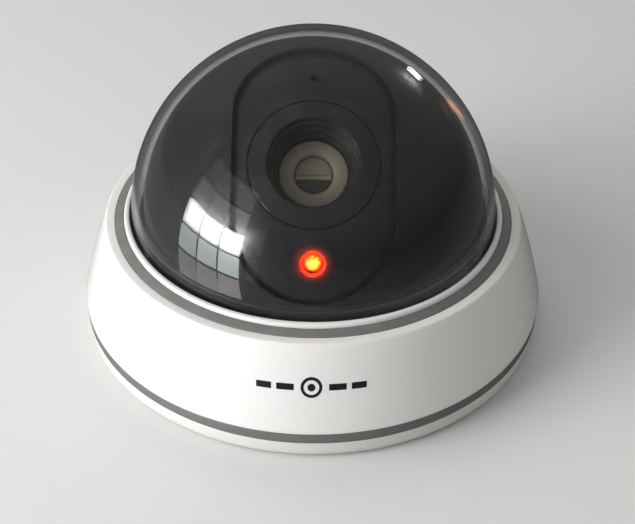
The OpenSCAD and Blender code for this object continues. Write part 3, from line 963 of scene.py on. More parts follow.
SOFT_BLACK = Moulding(
    "soft_black", "black_rubber", (0.014, 0.014, 0.014), 0.7,
    grain=0.03, grain_scale=1500, contrast=0.2, marks=0.1, dust=0.2, specular=0.3,
)
CHIP = Moulding("chip_epoxy", "chip_epoxy", (0.012, 0.012, 0.013), 0.5, grain=0.02, dust=0.08)
CAP_SLEEVE = Moulding("capacitor_blue", "capacitor_sleeve", (0.012, 0.02, 0.09), 0.25, coat=0.5)
RESISTOR = Moulding("resistor_tan", "resistor_body", (0.5, 0.34, 0.18), 0.35, coat=0.4)
CELL_GOLD = Moulding("cell_gold", "cell_sleeve", (0.62, 0.3, 0.05), 0.22, coat=0.8, contrast=0.05)
CELL_BLACK = Moulding(
    "cell_black", "cell_sleeve", (0.02, 0.02, 0.02), 0.22, coat=0.8, contrast=0.05
)
RED_SLEEVE = Moulding("red_sleeve", "red_wire", (0.42, 0.012, 0.01), 0.38)
BLACK_SLEEVE = Moulding("black_sleeve", "black_wire", (0.015, 0.015, 0.015), 0.38)
GREY_SLEEVE = Moulding("grey_sleeve", "grey_wire", (0.11, 0.11, 0.11), 0.42)
ZINC = Plating("bright_zinc", "zinc_screws", (0.62, 0.62, 0.6), 0.3)
NICKEL = Plating("nickel_plate", "nickel", (0.66, 0.64, 0.6), 0.2, brushed=0.01)
BLACK_OXIDE = Plating("black_oxide", "black_screws", (0.06, 0.06, 0.065), 0.35)
ACRYLIC = ClearShell("clear_acrylic", "clear_acrylic", (0.985, 0.99, 0.988), 0.012)
MILKY = MilkyMoulding("milky_lens", "milky_lens", (0.37, 0.34, 0.265), 0.34)
# Darker copy of the core's finish, for the core's lower half below the bar: painted shade.
CORE_PAINTED_SHADE = MilkyMoulding("core_painted_shade", "lens_core", (0.05, 0.05, 0.046), 0.2, clear=0.1, glow=0.1)
OLIVE = MilkyMoulding("lens_core", "lens_core", (0.32, 0.3, 0.25), 0.22, clear=0.1, glow=0.3)
LIT_RED = LitEpoxy("lit_red", "red_lamp", (0.75, 0.012, 0.004), 0.15)
BOARD = BoardLacquer("board_green", "green_board", (0.015, 0.13, 0.045), 0.3)


# ---------------------------------------------------------------- sub-assemblies


@dataclass
class SubAssembly:
    """A group of pieces that is built together."""

    shelf: MaterialShelf

    def build(self) -> None:
        """Makes the pieces of the sub-assembly."""
        raise NotImplementedError

    def dress(self, piece: Object, finish: Finish) -> Object:
        """Gives a piece one finish all over, and returns it."""
        piece.data.materials.clear()
        piece.data.materials.append(self.shelf.take(finish))
        return piece

    def fit(self, piece: Object, finish: Finish, part: Part, *nodes: str) -> Object:
        """Dresses a new piece and puts it on its body.

        Args:
            piece: The finished mesh.
            finish: What it looks like.
            part: The body that it rides on.
            nodes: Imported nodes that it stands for.

        Returns:
            The piece.
        """
        self.dress(piece, finish)
        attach(piece, part.value)
        if nodes:
            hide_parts(*nodes)
        LOG.info("%s: %d faces on %s", piece.name, len(piece.data.polygons), part.value)
        return piece

    def fair(self, part: Part, *rows: tuple[str, Finish, float]) -> None:
        """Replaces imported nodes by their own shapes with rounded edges.

        Args:
            part: The body that they ride on.
            rows: Each node's name, its finish and the width of its rounding.
        """
        for node, finish, edge in rows:
            self.fit(Bench.fair_copy(node, node + "_fine", edge), finish, part, node)


@dataclass
class MountingPlate(SubAssembly):
    """White plate that is screwed to the ceiling, with the bayonet's spigot."""

    foot_r: float = 59.8
    floor: float = 2.6
    spigot: tuple[float, float, float] = (56.2, 57.8, 13.6)
    hole_circle: float = 40.0
    hole_r: float = 2.2
    boss_r: float = 4.4
    lug_band: tuple[float, float] = (8.7, 11.9)
    slot_angles: tuple[float, ...] = (60, 180, 300)
    hole_angles: tuple[float, ...] = (30, 150, 270)
    slot_half: float = 4.0
    lock_angle: float = 15.0

    def build(self) -> None:
        """Turns the plate, adds its bosses and ribs, and cuts its holes and slots."""
        low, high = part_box("base_plate")
        rim_r = high.x / MM
        rim_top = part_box("lower_trim_ring")[0].z / MM
        inner, outer, top = self.spigot
        reach = rim_r - self.foot_r
        edge = [(self.foot_r + x, reach + z, 0.0) for x, z, _ in arc(reach, -90, 0, 8)]
        outline = [
            (0, 0, 0), *edge, (rim_r, rim_top, 0.35), (outer, rim_top, 0.2), (outer, top, 0.3),
            (inner, top, 0.3), (inner, self.floor, 0.5), (0, self.floor, 0),
        ]
        plate = Bench.turned("mounting_plate", outline)
        Bench.combine(plate, Cut.TOGETHER, *[self.boss(angle) for angle in self.hole_angles])
        Bench.combine(plate, Cut.TOGETHER, *[self.rib(side) for side in (-1, 1)])
        Bench.combine(plate, Cut.AWAY, *[self.hole(angle) for angle in self.hole_angles])
        Bench.combine(plate, Cut.AWAY, *self.slots())
        Bench.smooth(plate)
        self.fit(plate, BASE_WHITE, Part.BASE, "base_plate")

    def boss(self, angle: float) -> Object:
        """Returns the raised seat round one mounting hole."""
        top = self.floor + 1.4
        outline = [(0, 1, 0), (self.boss_r, 1, 0), (self.boss_r, top, 0.4), (0, top, 0)]
        seat = Bench.turned("seat", outline, ROD_SIDES)
        seat.location = round_about(angle, self.hole_circle)
        return Bench.settle(seat)

    def hole(self, angle: float) -> Object:
        """Returns the cutter of one mounting hole."""
        ends = [round_about(angle, self.hole_circle, height) for height in (-1, 7)]
        return Bench.rod("hole", self.hole_r * MM, *ends, sides=50)

    def rib(self, side: int) -> Object:
        """Returns one of the two low ribs of the floor."""
        return Bench.brick(
            "rib", (side * 30 - 1, -34, self.floor - 0.5), (side * 30 + 1, 34, self.floor + 0.3)
        )

    def slots(self) -> list[Object]:
        """Returns the cutters of the bayonet's slots."""
        low, high = self.lug_band
        inner, outer = self.spigot[0] - 0.5, self.spigot[1] + 0.5
        cutters = []
        for angle in self.slot_angles:
            ways = ((self.slot_half, self.spigot[2] + 2), (self.slot_half + self.lock_angle, high))
            for end, top in ways:
                edges = (angle - self.slot_half, angle + end)
                cutters.append(Bench.sector("slot", (inner, outer), (low, top), edges))
        return cutters


@dataclass
class Cover(SubAssembly):
    """White cover with its lip, and the two grey rings."""

    wall_control: Point = (58.46, 24.14)
    shoulder: Point = (55.3, 31.0)
    ring_groove: tuple[float, float, float] = (50.4, 52.9, 29.8)
    lip: tuple[float, float, float] = (48.9, 51.2, 26.8)
    roof: float = 28.2
    wall: float = 2.2
    lug: tuple[float, float, float] = (56.6, 9.0, 11.6)
    mark_height: float = 20.8
    mark_bars: tuple[Point, ...] = ((4.2, 8.4), (9.6, 13.2))
    mark_depth: float = 0.03
    post: tuple[float, float, float] = (2.4, 22.0, 28.4)
    post_bore: tuple[float, float, float] = (1.35, 21.0, 27.5)

    def build(self) -> None:
        """Turns the cover and the rings, and prints the mark."""
        low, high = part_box("cover_shell")
        self.low_r, self.low_z = high.x / MM, low.z / MM
        cover = Bench.turned("cover", self.outline(), FINE_STEPS, 5)
        Bench.combine(cover, Cut.TOGETHER, *self.lugs(), *self.uprights(*self.post))
        Bench.combine(cover, Cut.AWAY, *self.uprights(*self.post_bore))
        self.fit(Bench.smooth(cover), WHITE, Part.HOUSING, "cover_shell")
        self.rings()
        self.mark()

    def outline(self) -> list[Corner]:
        """Returns the cover's section, from its lower inside edge."""
        groove_in, groove_out, groove_z = self.ring_groove
        lip_in, lip_out, lip_low = self.lip
        top = self.shoulder[1] + 1.8
        inside = self.low_r - self.wall
        control = (self.wall_control[0] - self.wall - 0.2, self.wall_control[1] - 1)
        return [
            (inside, self.low_z, 0.3), (self.low_r, self.low_z, 0.35),
            *self.wall_line(),
            (self.shoulder[0] - 0.1, self.shoulder[1], 0.9),
            (groove_out, self.shoulder[1], 0.15), (groove_out, groove_z, 0.1),
            (groove_in, groove_z, 0.1), (groove_in, self.shoulder[1] + 1.0, 0.12),
            (groove_in - 0.25, top, 0.55), (lip_in, top, 0.5),
            (lip_in, lip_low, 0.2), (lip_out, lip_low, 0.2), (lip_out, self.roof, 0.3),
            *curve((53.2, self.roof), control, (inside, self.low_z + 0.6), 16),
        ]

    def wall_line(self) -> list[Corner]:
        """Returns the outside of the cover's wall, from its lower edge up."""
        start = (self.low_r, self.low_z + 0.6)
        return curve(start, self.wall_control, self.shoulder, 28, 0.955)

    def lugs(self) -> list[Object]:
        """Returns the three bayonet lugs."""
        inner, low, high = self.lug
        pieces = []
        for angle in (60, 180, 300):
            lug = Bench.brick("lug", (inner, -3, low), (60.6, 3, high))
            Bench.soften(lug, 0.3)
            lug.rotation_euler = (0, 0, math.radians(angle))
            pieces.append(Bench.settle(lug))
        return pieces

    def uprights(self, radius: float, low: float, high: float) -> list[Object]:
        """Returns a rod at each place where a screw goes up into the cover.

        Args:
            radius: Radius of each rod, in millimetres.
            low: Height of its lower end.
            high: Height of its upper end.
        """
        rods = []
        for angle in CROSS:
            ends = [round_about(angle, DECK_SCREW_RING, height) for height in (low, high)]
            rods.append(Bench.rod("upright", radius * MM, *ends))
        return rods

    def rings(self) -> None:
        """Turns the grey rings above and below the cover."""
        groove_in, groove_out, groove_z = self.ring_groove
        shoulder = self.shoulder[1]
        upper = [
            (groove_in + 0.05, groove_z, 0.1), (groove_out - 0.05, groove_z, 0.1),
            (groove_out - 0.05, shoulder + 0.02, 0.3), (groove_in + 0.05, shoulder + 0.9, 0.3),
        ]
        ring = Bench.smooth(Bench.turned("upper_ring", upper))
        self.fit(ring, TRIM_GREY, Part.HOUSING, "upper_trim_ring")
        low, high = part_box("lower_trim_ring")
        lower = [
            (60.0, low.z / MM, 0.2), (high.x / MM, low.z / MM, 0.3),
            (high.x / MM, high.z / MM, 0.3), (60.0, high.z / MM, 0.2),
        ]
        ring = Bench.smooth(Bench.turned("lower_ring", lower))
        self.fit(ring, TRIM_GREY, Part.GASKET, "lower_trim_ring")

    def mark(self) -> None:
        """Prints a plain sign on the front: an eye between two pairs of bars."""
        mid = self.mark_height
        shapes = []
        for side in (-1, 1):
            for bar in self.mark_bars:
                left, right = sorted(side * end for end in bar)
                low, high = (left, -70, mid - 0.8), (right, -50, mid + 0.8)
                shapes.append(Bench.brick("bar", low, high))
        front, back = Vector((0, -70, mid)) * MM, Vector((0, -50, mid)) * MM
        eye = Bench.rod("eye", 2.6 * MM, front, back)
        Bench.combine(eye, Cut.AWAY, Bench.rod("inner", 1.85 * MM, front * 1.01, back * 0.99))
        shapes += [eye, Bench.rod("pupil", 0.95 * MM, front, back)]
        stamp = Bench.join("front_mark", shapes)
        skin = [
            (x + side * self.mark_depth, z, 0.0)
            for side in (1, -1)
            for x, z, _ in self.wall_line()[::side]
        ]
        Bench.combine(stamp, Cut.WITHIN, Bench.turned("skin", skin, FINE_STEPS))
        self.fit(Bench.smooth(stamp), PRINT_BLACK, Part.HOUSING)


@dataclass
class ClearDome(SubAssembly):
    """Clear dome with its flange, and the seal above the flange."""

    outer: float = 48.4
    wall: float = 1.8
    flange: tuple[float, float, float] = (50.9, 24.0, 25.8)
    seal: Point = (49.0, 50.8)

    def build(self) -> None:
        """Turns the dome and the seal."""
        centre = BALL.z / MM
        reach, low, top = self.flange
        inner = self.outer - self.wall
        outline = [
            *arc(self.outer, 90, 0, 72, centre), (self.outer, top, 0.3), (reach, top, 0.3),
            (reach, low, 0.3), (inner, low, 0.2), *arc(inner, 0, 90, 72, centre),
        ]
        dome = Bench.smooth(Bench.turned("dome", outline, FINE_STEPS), 50)
        self.fit(dome, ACRYLIC, Part.HOUSING, "clear_dome")
        low, high = (corner.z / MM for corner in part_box("dome_seal"))
        near, far = self.seal
        outline = [(near, low, 0.3), (far, low, 0.3), (far, high, 0.3), (near, high, 0.3)]
        seal = Bench.smooth(Bench.turned("seal", outline))
        self.fit(seal, SOFT_BLACK, Part.HOUSING, "dome_seal")


@dataclass
class Liner(SubAssembly):
    """Black liner with its slot."""

    outer: float = 45.2
    wall: float = 1.1
    low: float = 22.6
    slot_half: float = 19.4
    slot_ends: tuple[float, float] = (29.9, 69.3)

    def build(self) -> None:
        """Turns the liner and cuts its slot and screw holes."""
        centre = BALL.z / MM
        inner = self.outer - self.wall
        outline = [
            *arc(self.outer, 90, 0, 60, centre), (self.outer, self.low, 0.3),
            (inner, self.low, 0.3), *arc(inner, 0, 90, 60, centre),
        ]
        liner = Bench.turned("liner_shell", outline, FINE_STEPS)
        Bench.combine(liner, Cut.AWAY, self.slot_tool())
        for angle in LINER_SCREWS:
            ends = [round_about(angle, radius, LINER_SCREW_HEIGHT) for radius in (42, 47)]
            Bench.drill(liner, 1.1, *ends)
        Bench.soften(liner, 0.18, 50)
        self.fit(Bench.smooth(liner), LINER_BLACK, Part.PAN, "liner")

    def slot_tool(self) -> Object:
        """Returns the slot's cutter: a band with a round end at each elevation."""
        ends = [
            Bench.rod("end", self.slot_half * MM, BALL, BALL + toward(angle, 0.06), 128)
            for angle in self.slot_ends
        ]
        half = self.slot_half - 0.02
        band = Bench.sector("band", (30, 60), (-half, half), self.slot_ends, 32)
        band.data.transform(FRONT_WHEEL)
        return Bench.combine(band, Cut.TOGETHER, *ends)


@dataclass
class Inside(SubAssembly):
    """Frame, battery bay, board and switch under the deck."""

    cell: tuple[float, float] = (7.25, 50.5)
    cell_row: float = 7.6
    button: tuple[float, float] = (2.75, 1.0)

    def build(self) -> None:
        """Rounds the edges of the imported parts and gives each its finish."""
        self.fair(
            Part.HOUSING,
            ("chassis", GREY_FRAME, 0.25), ("battery_tray", DARK_FRAME, 0.25),
            ("contact_springs", NICKEL, 0), ("contact_plates", NICKEL, 0.1),
            ("contact_bridge", NICKEL, 0.1), ("flasher_board", BOARD, 0.1),
            ("flasher_chip", CHIP, 0.2), ("board_capacitor", CAP_SLEEVE, 0.4),
            ("board_resistors", RESISTOR, 0.4), ("switch_frame", NICKEL, 0.1),
            ("switch_body", BLACK_PART, 0.2), ("battery_lead_red", RED_SLEEVE, 0),
            ("battery_lead_black", BLACK_SLEEVE, 0), ("switch_lead", RED_SLEEVE, 0),
            ("lamp_lead_lower", GREY_SLEEVE, 0), ("pan_washer", BLACK_PART, 0.15),
            ("pan_circlip", NICKEL, 0.1),
        )
        self.fair(Part.SWITCH, ("switch_knob", WHITE, 0.2))
        self.cells()

    def cells(self) -> None:
        """Turns one AA cell in its shrink sleeve, and lays the pair head to tail."""
        low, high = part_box("battery_cells")
        radius, length = self.cell
        pip_r, pip = self.button
        bottom = -length / 2
        shoulder = bottom + length - pip
        outline = [
            (0, bottom, 0), (radius - 1.3, bottom, 0.1), (radius - 1.2, bottom + 0.25, 0.1),
            (radius, bottom + 0.25, 0.5), (radius, shoulder, 0.9), (radius - 2.1, shoulder, 0.2),
            (radius - 2.2, shoulder - 0.3, 0.1), (pip_r, shoulder - 0.3, 0.2),
            (pip_r, shoulder + pip, 0.4), (0, shoulder + pip, 0),
        ]
        first = Bench.smooth(Bench.turned("cell", outline, 96))
        for finish in (CELL_BLACK, CELL_GOLD, NICKEL):
            first.data.materials.append(self.shelf.take(finish))
        for face in first.data.polygons:
            out, up = face.center.xy.length / MM, face.center.z / MM
            bare = out < radius - (1.25 if up < 0 else 2.15)
            face.material_index = 2 if bare else int(up > length * 0.18)
        middle_z = (low.z + high.z) / 2
        cells = []
        for side in (-1, 1):
            x = -side * (high.x - length / 2 * MM)
            place = Matrix.Translation((x, side * self.cell_row * MM, middle_z))
            turn = Matrix.Rotation(-side * math.pi / 2, 4, "Y")
            cells.append(Bench.copy_of(first, "cell", place @ turn))
        bpy.data.objects.remove(first)
        pair = Bench.join("aa_cells", cells)
        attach(pair, Part.HOUSING.value)
        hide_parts("battery_cells")
        LOG.info("%s: %d faces", pair.name, len(pair.data.polygons))


@dataclass(frozen=True)
class ScrewKind:
    """Sizes of a pan head screw, in millimetres."""

    shank_r: float
    shank: float
    head_r: float
    head: float

    def make(self) -> Object:
        """Returns a screw whose head's underside is at the origin, with its tip up."""
        top = -self.head
        outline = [
            (0, top, 0), (self.head_r * 0.85, top, self.head * 0.5),
            (self.head_r, top * 0.45, self.head * 0.2), (self.head_r, 0, 0.08),
            (self.shank_r, 0, 0.04), (self.shank_r, self.shank - self.shank_r, 0.1),
            (self.shank_r * 0.4, self.shank, 0.1), (0, self.shank, 0),
        ]
        screw = Bench.turned("screw", outline, 48)
        long, thin, deep = self.head_r * 0.6, self.head_r * 0.13, top * 0.45
        for x, y in ((long, thin), (thin, long)):
            Bench.combine(screw, Cut.AWAY, Bench.brick("slot", (-x, -y, top - 1), (x, y, deep)))
        return Bench.smooth(screw)


@dataclass
class Screws(SubAssembly):
    """Every screw of the camera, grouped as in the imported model."""

    def build(self) -> None:
        """Copies one screw of each kind to its places."""
        flip = Matrix.Rotation(math.pi, 4, "X")
        yoke = [(x, y, 0) for x in self.pair(31.2) for y in self.pair(3.4)]
        inward = Matrix.Rotation(-math.pi / 2, 4, "Y")
        groups = (
            ("chassis_screws", ScrewKind(1.3, 7, 2.3, 1.6), ZINC, Part.HOUSING, 20,
             [self.spot(angle, DECK_SCREW_RING) for angle in CROSS]),
            ("tray_screws", ScrewKind(1, 3.6, 2, 1.4), ZINC, Part.HOUSING, 17.7,
             [Matrix.Translation((x, 0, 0)) for x in self.pair(31.4)]),
            ("board_screws", ScrewKind(0.9, 5.4, 1.8, 1.2), ZINC, Part.HOUSING, 15.4,
             [Matrix.Translation((x, 28.4 * MM, 0)) for x in self.pair(10)]),
            ("switch_screws", ScrewKind(0.9, 2.3, 1.7, 1.1), ZINC, Part.HOUSING, 19.1,
             [Matrix.Translation((x, -21 * MM, 0)) for x in self.pair(8.4)]),
            ("yoke_screws", ScrewKind(1.1, 3.8, 2, 1.3), ZINC, Part.PAN, 26.9,
             [Matrix.Translation(place) @ flip for place in yoke]),
            ("liner_screws", ScrewKind(0.9, 4.8, 2, 0.9), BLACK_OXIDE, Part.PAN,
             LINER_SCREW_HEIGHT,
             [self.spot(angle, Liner.outer) @ inward for angle in LINER_SCREWS]),
        )
        for node, kind, finish, part, height, places in groups:
            lift = Matrix.Translation((0, 0, height * MM))
            self.set_of(node, kind, finish, part, [lift @ place for place in places])
        lift = axis_frame(TURRET_ELEVATION) @ Matrix.Translation((0, 0, 36.4 * MM))
        places = [lift @ self.spot(angle, TURRET_SCREW_RING) for angle in CROSS]
        self.set_of("turret_screws", ScrewKind(0.7, 2.8, 1.25, 0.9), ZINC, Part.TILT, places)

    @staticmethod
    def pair(reach: float) -> tuple[float, float]:
        """Returns minus and plus a length in millimetres, in metres."""
        return -reach * MM, reach * MM

    @staticmethod
    def spot(angle: float, radius: float) -> Matrix:
        """Returns the frame at an angle and a radius, turned by that angle."""
        turn = Matrix.Rotation(math.radians(angle), 4, "Z")
        return turn @ Matrix.Translation((radius * MM, 0, 0))

    def set_of(
        self, node: str, kind: ScrewKind, finish: Finish, part: Part, places: list[Matrix]
    ) -> None:
        """Makes one group of screws.

        Args:
            node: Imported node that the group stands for.
            kind: Sizes of the screw.
            finish: Its finish.
            part: The body that it rides on.
            places: Where each screw goes.
        """
        first = kind.make()
        copies = [Bench.copy_of(first, "screw", place) for place in places]
        bpy.data.objects.remove(first)
        self.fit(Bench.join(node + "_fine", copies), finish, part, node)


@dataclass
class PanHead(SubAssembly):
    """Turntable with its yoke, washers and lead, under the liner."""

    def build(self) -> None:
        """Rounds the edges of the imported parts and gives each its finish."""
        self.fair(
            Part.PAN,
            ("turntable", DARK_FRAME, 0.25), ("yoke_left", DARK_FRAME, 0.25),
            ("yoke_right", DARK_FRAME, 0.25), ("tilt_washers", NICKEL, 0.05),
            ("lamp_lead_middle", GREY_SLEEVE, 0),
        )


@dataclass
class TiltHead(SubAssembly):
    """Shutter band with the turret, the lens and the lamp."""

    outer: float = 43.8
    inner: float = 42.4
    half: float = 22.5
    sweep: Point = (-17, 108)
    turret_r: float = 15.5
    dimple: Corner = (79.5, 1.1, 0.7)
    cheek: Corner = (20.5, 36.7, 27.9)
    cheek_sweep: Point = (14, 100)
    cheek_holes: Corner = (34, 57, 80)
    pivot_radii: Corner = (4.6, 2.0, 0.9)
    lens_face: float = 32.5
    lens_r: float = 8.5
    core_r: float = 4.75
    bar: tuple[float, float] = (-1.3, -0.15)

    def build(self) -> None:
        """Builds the band, then everything that it carries."""
        self.shutter()
        self.turret()
        self.lens()
        self.lamp()
        self.fair(
            Part.TILT,
            ("lens_tube", BLACK_PART, 0.1), ("lamp_bezel", TURRET_BLACK, 0.1),
            ("lamp_board", BOARD, 0.1), ("lamp_lead_upper", GREY_SLEEVE, 0),
        )

    def aimed(self, name: str, radius: float, angle: float, low: float, high: float) -> Object:
        """Returns a rod that points away from the ball centre.

        Args:
            name: Name of the rod.
            radius: Its radius, in millimetres.
            angle: Its elevation, in degrees.
            low: Distance of its near end, in millimetres.
            high: Distance of its far end.
        """
        ends = [BALL + toward(angle, reach * MM) for reach in (low, high)]
        return Bench.rod(name, radius * MM, *ends, sides=128)

    @staticmethod
    def along(*heights: float) -> list[Vector]:
        """Returns points on the Z axis, in metres, from heights in millimetres."""
        return [Vector((0, 0, height)) * MM for height in heights]

    def shutter(self) -> None:
        """Turns the band about the tilt axis and adds its side plates."""
        out, back = (math.degrees(math.asin(self.half / r)) for r in (self.outer, self.inner))
        outline = [*arc(self.outer, -out, out, 40), *arc(self.inner, back, -back, 40)]
        band = Bench.turned("shutter_band", outline, FINE_STEPS)
        keep = Bench.sector("keep", (20, 60), (-30, 30), self.sweep, 40)
        Bench.combine(band, Cut.WITHIN, keep)
        near, reach, tip = self.cheek
        hub_r, pin_r, bore_r = self.pivot_radii
        for side in (-1, 1):
            span = sorted((side * near, side * self.half))
            plate = Bench.sector("plate", (0.5, reach), span, self.cheek_sweep, 24)
            hub = Bench.rod("hub", hub_r * MM, *self.along(*span))
            pin = Bench.rod("pin", pin_r * MM, *self.along(side * (near + 1), side * tip))
            Bench.combine(plate, Cut.TOGETHER, hub, pin)
            for angle in self.cheek_holes:
                ends = [round_about(angle, 25, z) for z in (span[0] - 2, span[1] + 2)]
                Bench.drill(plate, 4, *ends, sides=ROD_SIDES)
            Bench.combine(band, Cut.TOGETHER, plate)
        Bench.drill(band, bore_r, *self.along(-40, 40), sides=ROD_SIDES)
        band.data.transform(FRONT_WHEEL)
        spot, hole_r, deep = self.dimple
        Bench.combine(
            band, Cut.AWAY,
            self.aimed("window", self.turret_r + 0.3, TURRET_ELEVATION, 30, 60),
            self.aimed("lamp_hole", 3.3, LAMP_ELEVATION, 38.4, 60),
            self.aimed("dimple", hole_r, spot, self.outer - deep, 60),
        )
        Bench.soften(band, 0.16, 50)
        self.fit(Bench.smooth(band), LINER_BLACK, Part.TILT, "shutter")

    def turret(self) -> None:
        """Turns the turret with the steps round its lens."""
        front = [
            (r, math.sqrt(self.outer**2 - r * r), 0.0)
            for r in (11.2 + (self.turret_r - 0.3 - 11.2) * step / 12 for step in range(13))
        ]
        edge = math.sqrt(self.outer**2 - self.turret_r**2)
        outline = [
            *front, (self.turret_r, edge, 0.3), (self.turret_r, 37.9, 0.1), (18.2, 37.9, 0.2),
            (18.2, 36.4, 0.2), (10.6, 36.4, 0.2), (10.6, 28.6, 0.2), (7.4, 28.6, 0.1),
            (7.4, 30.1, 0.1), (8.55, 30.1, 0.1), (8.7, 35.2, 0.12), (9.3, 35.2, 0.2),
            (9.5, 38.0, 0.12), (10.1, 38.0, 0.2), (10.3, 40.4, 0.12), (10.9, 40.4, 0.2),
        ]
        turret = Bench.turned("turret_ring", outline)
        for angle in CROSS:
            ends = [round_about(angle, TURRET_SCREW_RING, height) for height in (35, 38.4)]
            Bench.drill(turret, 0.9, *ends)
        turret.data.transform(axis_frame(TURRET_ELEVATION))
        self.fit(Bench.smooth(turret), TURRET_BLACK, Part.TILT, "turret")

    def lens(self) -> None:
        """Turns the milky lens with its well, and the stepped core inside it, whose lower half is a
        darker copy: painted shade.
        """
        face, reach, well = self.lens_face, self.lens_r, self.core_r
        outline = [
            (0, face - 2.3, 0), (reach, face - 2.3, 0.2), (reach, face, 0.6),
            (well + 1.2, face + 0.3, 1.0), (well, face - 0.25, 0.5), (well - 0.1, face - 1.7, 0.15),
            (0, face - 1.7, 0),
        ]
        cap = Bench.turned("lens_window", outline, 128, 6)
        cap.data.transform(axis_frame(TURRET_ELEVATION))
        self.fit(Bench.smooth(cap, 30), MILKY, Part.TILT, "lens_cap")
        core_r = well - 0.15
        dome = [
            (0, face - 1.9, 0), (core_r, face - 1.9, 0.05), (core_r, face - 1.15, 0.4),
            (core_r * 0.55, face - 0.75, 0.9), (0, face - 0.65, 0),
        ]
        upper = Bench.turned("lens_core", dome, 96, 5)
        # The lower half, below the bar, sits a little deeper and takes a darker copy of the core's
        # finish: painted shade.
        lower = Bench.copy_of(upper, "lens_core_painted_shade", Matrix.Translation((0, 0, -0.35 * MM)))
        shelf = self.bar
        halves = (
            (upper, (-6, -6, face - 3), (6, shelf[1] + 0.12, face + 1), OLIVE, ("lens_pupil",)),
            (lower, (-6, shelf[0] - 0.05, face - 3), (6, 6, face + 1), CORE_PAINTED_SHADE, ()),
        )
        for half, low, high, finish, nodes in halves:
            Bench.combine(half, Cut.AWAY, Bench.brick("other_half", low, high))
            Bench.soften(half, 0.1, 50)
            half.data.transform(axis_frame(TURRET_ELEVATION))
            self.fit(Bench.smooth(half, 30), finish, Part.TILT, *nodes)
        bar = Bench.brick("lens_bar", (-4.4, shelf[0], face - 2), (4.4, shelf[1], face - 0.4))
        Bench.soften(bar, 0.3, 40, 3)
        bar.data.transform(axis_frame(TURRET_ELEVATION))
        self.fit(Bench.smooth(bar), MILKY, Part.TILT)

    def lamp(self) -> None:
        """Turns the lamp and puts its own red light in front of it."""
        bulb_r, base = 2.5, self.outer - 2.6
        outline = [
            (0, 38.5, 0), (2.9, 38.5, 0.1), (2.9, 39.5, 0.15), (bulb_r, 39.5, 0.1),
            *arc(bulb_r, 0, 90, 24, base),
        ]
        lamp = Bench.turned("lamp_bulb", outline, ROD_SIDES)
        lamp.data.transform(axis_frame(LAMP_ELEVATION))
        self.fit(Bench.smooth(lamp), LIT_RED, Part.TILT, "lamp")
        light = bpy.data.lights.new("lamp_glow", "SPOT")
        light.color = (1.0, 0.04, 0.01)
        light.energy = 0.12
        light.shadow_soft_size = 0.0004
        light.spot_size = math.radians(128)
        light.spot_blend = 1.0
        glow = bpy.data.objects.new("lamp_glow", light)
        way = toward(LAMP_ELEVATION)
        glow.location = BALL + way * (self.outer + 2.5) * MM
        glow.rotation_euler = way.to_track_quat("Z", "Y").to_euler()
        bpy.context.scene.collection.objects.link(glow)
        glow.parent = lamp
        glow.visible_camera = False


# ---------------------------------------------------------------- studio


def mirrored(graph: Graph) -> NodeSocket:
    """Returns 1 for rays that a gloss has turned at least once, and 0 for the rest."""
    path = graph.add("LightPath")
    return graph.sum_up("MINIMUM", path.outputs["Glossy Depth"], 1.0)


@dataclass(frozen=True)
class TableTop(Moulding):
    """Pale table whose reflections are painted dark, as a dim room would show them."""

    dim: float = 0.72

    def surface(self, graph: Graph, effects: EffectShelf) -> NodeSocket:
        """Moulded sheet, mixed with a dark one for mirrored rays: a painted dark reflection."""
        pale = super().surface(graph, effects)
        dark = graph.add("BsdfDiffuse", Color=(0.02, 0.02, 0.02, 1))
        # Painted reflection: rays that a gloss has turned see a dark sheet instead of the pale
        # table.
        share = graph.sum_up("MULTIPLY", mirrored(graph), self.dim)
        return graph.mixed(share, pale, dark.outputs[0])


TABLE = TableTop(
    "pale_table", "white_plastic", (0.72, 0.725, 0.72), 0.32,
    grain=0.01, grain_scale=300, contrast=0.02, marks=0.0, dust=0.0, specular=0.35,
)


class Panel(NamedTuple):
    """A rectangular light that faces the camera body.

    Its place is degrees to the right of the front, degrees above the horizon and
    distance in metres. Its size is in metres and its power in watts.
    """

    name: str
    place: Corner
    size: Point
    power: float
    colour: Colour


